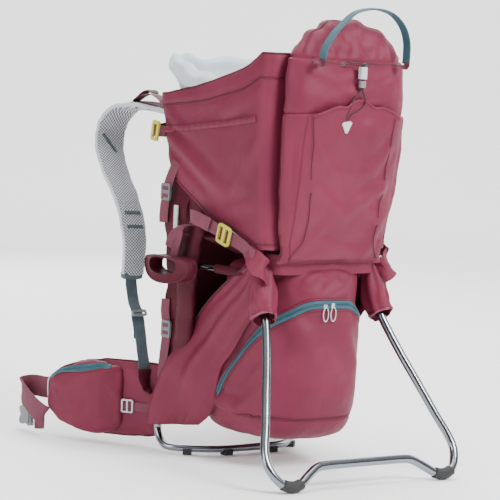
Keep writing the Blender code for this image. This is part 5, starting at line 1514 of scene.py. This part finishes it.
# ======================= child's place =======================
path = [(-.1285, .020), (-.1290, .060), (-.1295, .100), (-.1290, .138), (-.1250, .166), (-.112, .181), (-.088, .1865), (-.04, .1875)]
path = path + [(-x, y) for x, y in reversed(path)]
CP = spline([(x, y, 0) for x, y in path], 6)
bm = bmesh.new()
R = []
for i, p in enumerate(CP):
    t = (CP[min(i + 1, len(CP) - 1)] - CP[max(i - 1, 0)]).normalized()
    n_ = Vector((t.y, -t.x, 0))
    top = lerp_table([(.020, .664), (.060, .668), (.100, .676), (.138, .688), (.166, .697), (.181, .697), (.1875, .693)], p.y)
    top += .0025 * math.sin(i * .9) + .002 * noise.noise(Vector((p.x * 30, p.y * 30, 0)))
    ring = []
    for k in range(26):
        a = TAU * k / 26
        c, sn = math.cos(a), math.sin(a)
        zq = (.582 + top) / 2 + math.copysign(abs(sn) ** .5, sn) * (top - .582) / 2
        g_ = sm01((zq - .630) / .030) * sm01((p.y - .05) / .10)
        q = p + n_ * (math.copysign(abs(c) ** .6, c) * (.0068 + .0035 * g_))
        q.x += math.copysign(.0120, p.x) * g_ * min(1, abs(p.x) / .10)
        q.y += .0185 * g_ * sm01((p.y - .12) / .06)
        q.z = zq + .004 * g_
        ring.append(bm.verts.new(D(q)))
    R.append(ring)
skin(bm, R)
cap(bm, R[0])
cap(bm, R[-1])
cp = puff("chin_cushion", bm, "lining", "frame", "lining", pressure=5.0, move=.008, voxel=.0045, frames_=14)
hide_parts("chin_pad")
displace(cp, lambda p, n_: .0020 * noise.noise(p * 30) + .0024 * math.sin(p.x * 60 + 2 * noise.noise(p * 12)) * sm01((p.z - .64) / .03))
CPT = bvh(cp)
seam("chin_cushion_seam", CPT, [D((p.x * .97, p.y - .012, .650 + .10 * max(0, p.y - .12))) for p in CP[4:-4]], mat="lining", r=.0012, per=1, gap=.0035)
sc = pad("seat_cushion", -.086, .086, -.046, .101, .377, .398, ["lining"], "frame", "lining", pressure=4, frames_=10)
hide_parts("seat_pad")
cb = pad("child_back_cushion", -.071, .071, -.0895, -.0775, .424, .631, ["lining"], "frame", "lining", pressure=3, frames_=10, voxel=.0045, move=.004)
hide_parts("child_back_pad")
displace(cb, lambda p, n_: -.003 * sum(math.exp(-((p.z - z_) / .0035) ** 2) for z_ in (.475, .53, .585)) if n_.y > .3 else 0)
# sling under the seat, from the seat bow to the cockpit, light harness tapes over the child's shoulders and between the legs
for side, s in (("left", -1), ("right", 1)):
    band("harness_tape_" + side, [D(p) for p in ((s * .034, -.0745, .622), (s * .036, -.0700, .585), (s * .038, -.0640, .545), (s * .034, -.0630, .505), (s * .026, -.0680, .470), (s * .020, -.0690, .458))], .022, (1, 0, 0), .0022, "slate", slot="slate", per=7, wave=.0014, seed=s * 3.1)
    band("harness_pad_" + side, [D(p) for p in ((s * .0345, -.0735, .610), (s * .037, -.0680, .575), (s * .038, -.0610, .540), (s * .035, -.0610, .512))], .036, (1, 0, 0), .0065, "lining", slot="lining", per=7, edge=.4)
band("crotch_tape", [D(p) for p in ((0, -.0690, .4440), (0, -.0600, .4230), (0, -.0350, .4060), (0, .000, .4030), (0, .040, .4025))], .026, (1, 0, 0), .0024, "slate", slot="slate", per=7, wave=.0010)
bm = bmesh.new()
G0, G1 = [], []
for j in range(15):
    v = j / 14
    a_, b_ = [], []
    for i in range(25):
        u = -1 + 2 * i / 24
        z_ = .3745 - .020 * math.sin(math.pi * v) * (1 - abs(u) ** 4) + .0008 * noise.noise(Vector((u * 3, v * 3, 0)))
        z_ += .012 * abs(u) ** 6
        y_ = -.088 + .182 * v
        a_.append(bm.verts.new(D((u * .1225, y_, z_))))
        b_.append(bm.verts.new(D((u * .1225, y_, z_ - .0022))))
    G0.append(a_)
    G1.append(b_)
for j in range(14):
    for i in range(24):
        bm.faces.new((G0[j][i], G0[j][i + 1], G0[j + 1][i + 1], G0[j + 1][i]))
        bm.faces.new((G1[j][i + 1], G1[j][i], G1[j + 1][i], G1[j + 1][i + 1]))
    for i in (0, 24):
        bm.faces.new((G0[j][i], G0[j + 1][i], G1[j + 1][i], G1[j][i]))
for i in range(24):
    for j in (0, 14):
        bm.faces.new((G0[j][i], G0[j][i + 1], G1[j][i + 1], G1[j][i]))
sg = link("seat_sling", bm, "nylon_d", angle=80)


# ======================= carry handle =======================
hp = [(-.0900, .701), (-.0880, .719), (-.0710, .745), (-.0500, .765), (-.0280, .7815), (.0010, .7888), (.0300, .7885), (.0570, .7800), (.0780, .7610), (.0880, .7380), (.0895, .715), (.0890, .701)]
HP = [D((x, -.172, z)) for x, z in hp]
rings, info = strap_rings(HP, .0185, (0, 1, 0), .0030, 8, nseg=8, edge=.45)
bm = bmesh.new()
R = [[bm.verts.new(v) for v in r] for r in rings]
skin(bm, R)
bm.faces.new(R[0])
bm.faces.new(R[-1])
hd = link("carry_handle_tape", bm, "teal", body="top_handle_loop", angle=60)
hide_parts("top_handle")
for nm_, off_ in (("a", -.0064), ("b", .0064)):
    bm = bmesh.new()
    pts = [p + d * off_ for p, t, d, nn, w_ in info]
    stitches(bm, pts, [(-nn if (-nn).dot(p - D((0, -.172, .72))) > 0 else nn) for p, t, d, nn, w_ in info], pitch=.0042, lift=.0016)
    link("carry_handle_stitch_" + nm_, bm, "slate", body="top_handle_loop", angle=80)
# the maroon base band the handle is sewn to, on the pocket hem
for side, xh in (("left", -.0900), ("right", .0890)):
    bpts = [(xh, -.1720, .7040), (xh, -.1715, .7000), (xh * .995, -.1640, .6975), (xh * .985, -.1560, .6975)]
    band("carry_handle_anchor_" + side, [D(q) for q in bpts], .0190, [(0, 1, .2), (0, 1, .3), (1, .2, 0), (1, 0, 0)], .0030, "web_d", slot="dark_nylon", per=6)


# ======================= drawcord =======================
yc = -.1690
route = [(-.0337, -.1660, .7010), (-.0240, -.1680, .6985), (-.0100, yc, .6990), (-.0032, yc, .6950), (-.0025, yc, .683), (-.0025, yc, .6560),
         (-.0075, yc, .6490), (-.0170, yc, .6400), (-.0215, yc, .629), (-.0280, -.1682, .614), (-.0305, -.1675, .6065), (-.0280, -.1675, .6048),
         (-.0250, -.1675, .6075), (-.0150, -.1680, .6160), (.0000, yc, .6240), (.0080, yc, .6340), (.0040, yc, .647), (.0005, yc, .6560),
         (.0005, yc, .683), (.0008, yc, .6950), (.0060, yc, .6985), (.0158, -.1660, .7010)]
RT = spline([D(p) for p in route], 5)
cu = bpy.data.curves.new("pocket_drawcord", 'CURVE')
cu.dimensions = '3D'
sp0 = cu.splines.new('POLY')
sp0.points.add(len(RT) - 1)
for q, p in zip(sp0.points, RT):
    q.co = (p.x, p.y, p.z, 1)
cu.bevel_depth = .00115
cu.bevel_resolution = 4
cu.use_fill_caps = True
cdo = bpy.data.objects.new("pocket_drawcord", cu)
scene.collection.objects.link(cdo)
cu.materials.append(MT["cord"])
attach(cdo, "frame")
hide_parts("drawcord")
for k, (x_, z_) in enumerate(((-.0337, .7010), (.0158, .7010))):
    bm = bmesh.new()
    R = []
    q, n_, _, _ = HT_.find_nearest(D((x_, -.170, z_)))
    a_ = n_.orthogonal().normalized()
    b_ = n_.cross(a_)
    for i in range(20):
        w_ = TAU * i / 20
        c = q + (a_ * math.cos(w_) + b_ * math.sin(w_)) * .0027
        o_ = (a_ * math.cos(w_) + b_ * math.sin(w_))
        R.append([bm.verts.new(c + o_ * .0011 * math.cos(e) + n_ * (.0011 * math.sin(e) + .0004)) for e in (TAU * m / 8 for m in range(8))])
    skin(bm, R, closed=True)
    link("cord_eyelet_%d" % (k + 1), bm, "slate", angle=80)
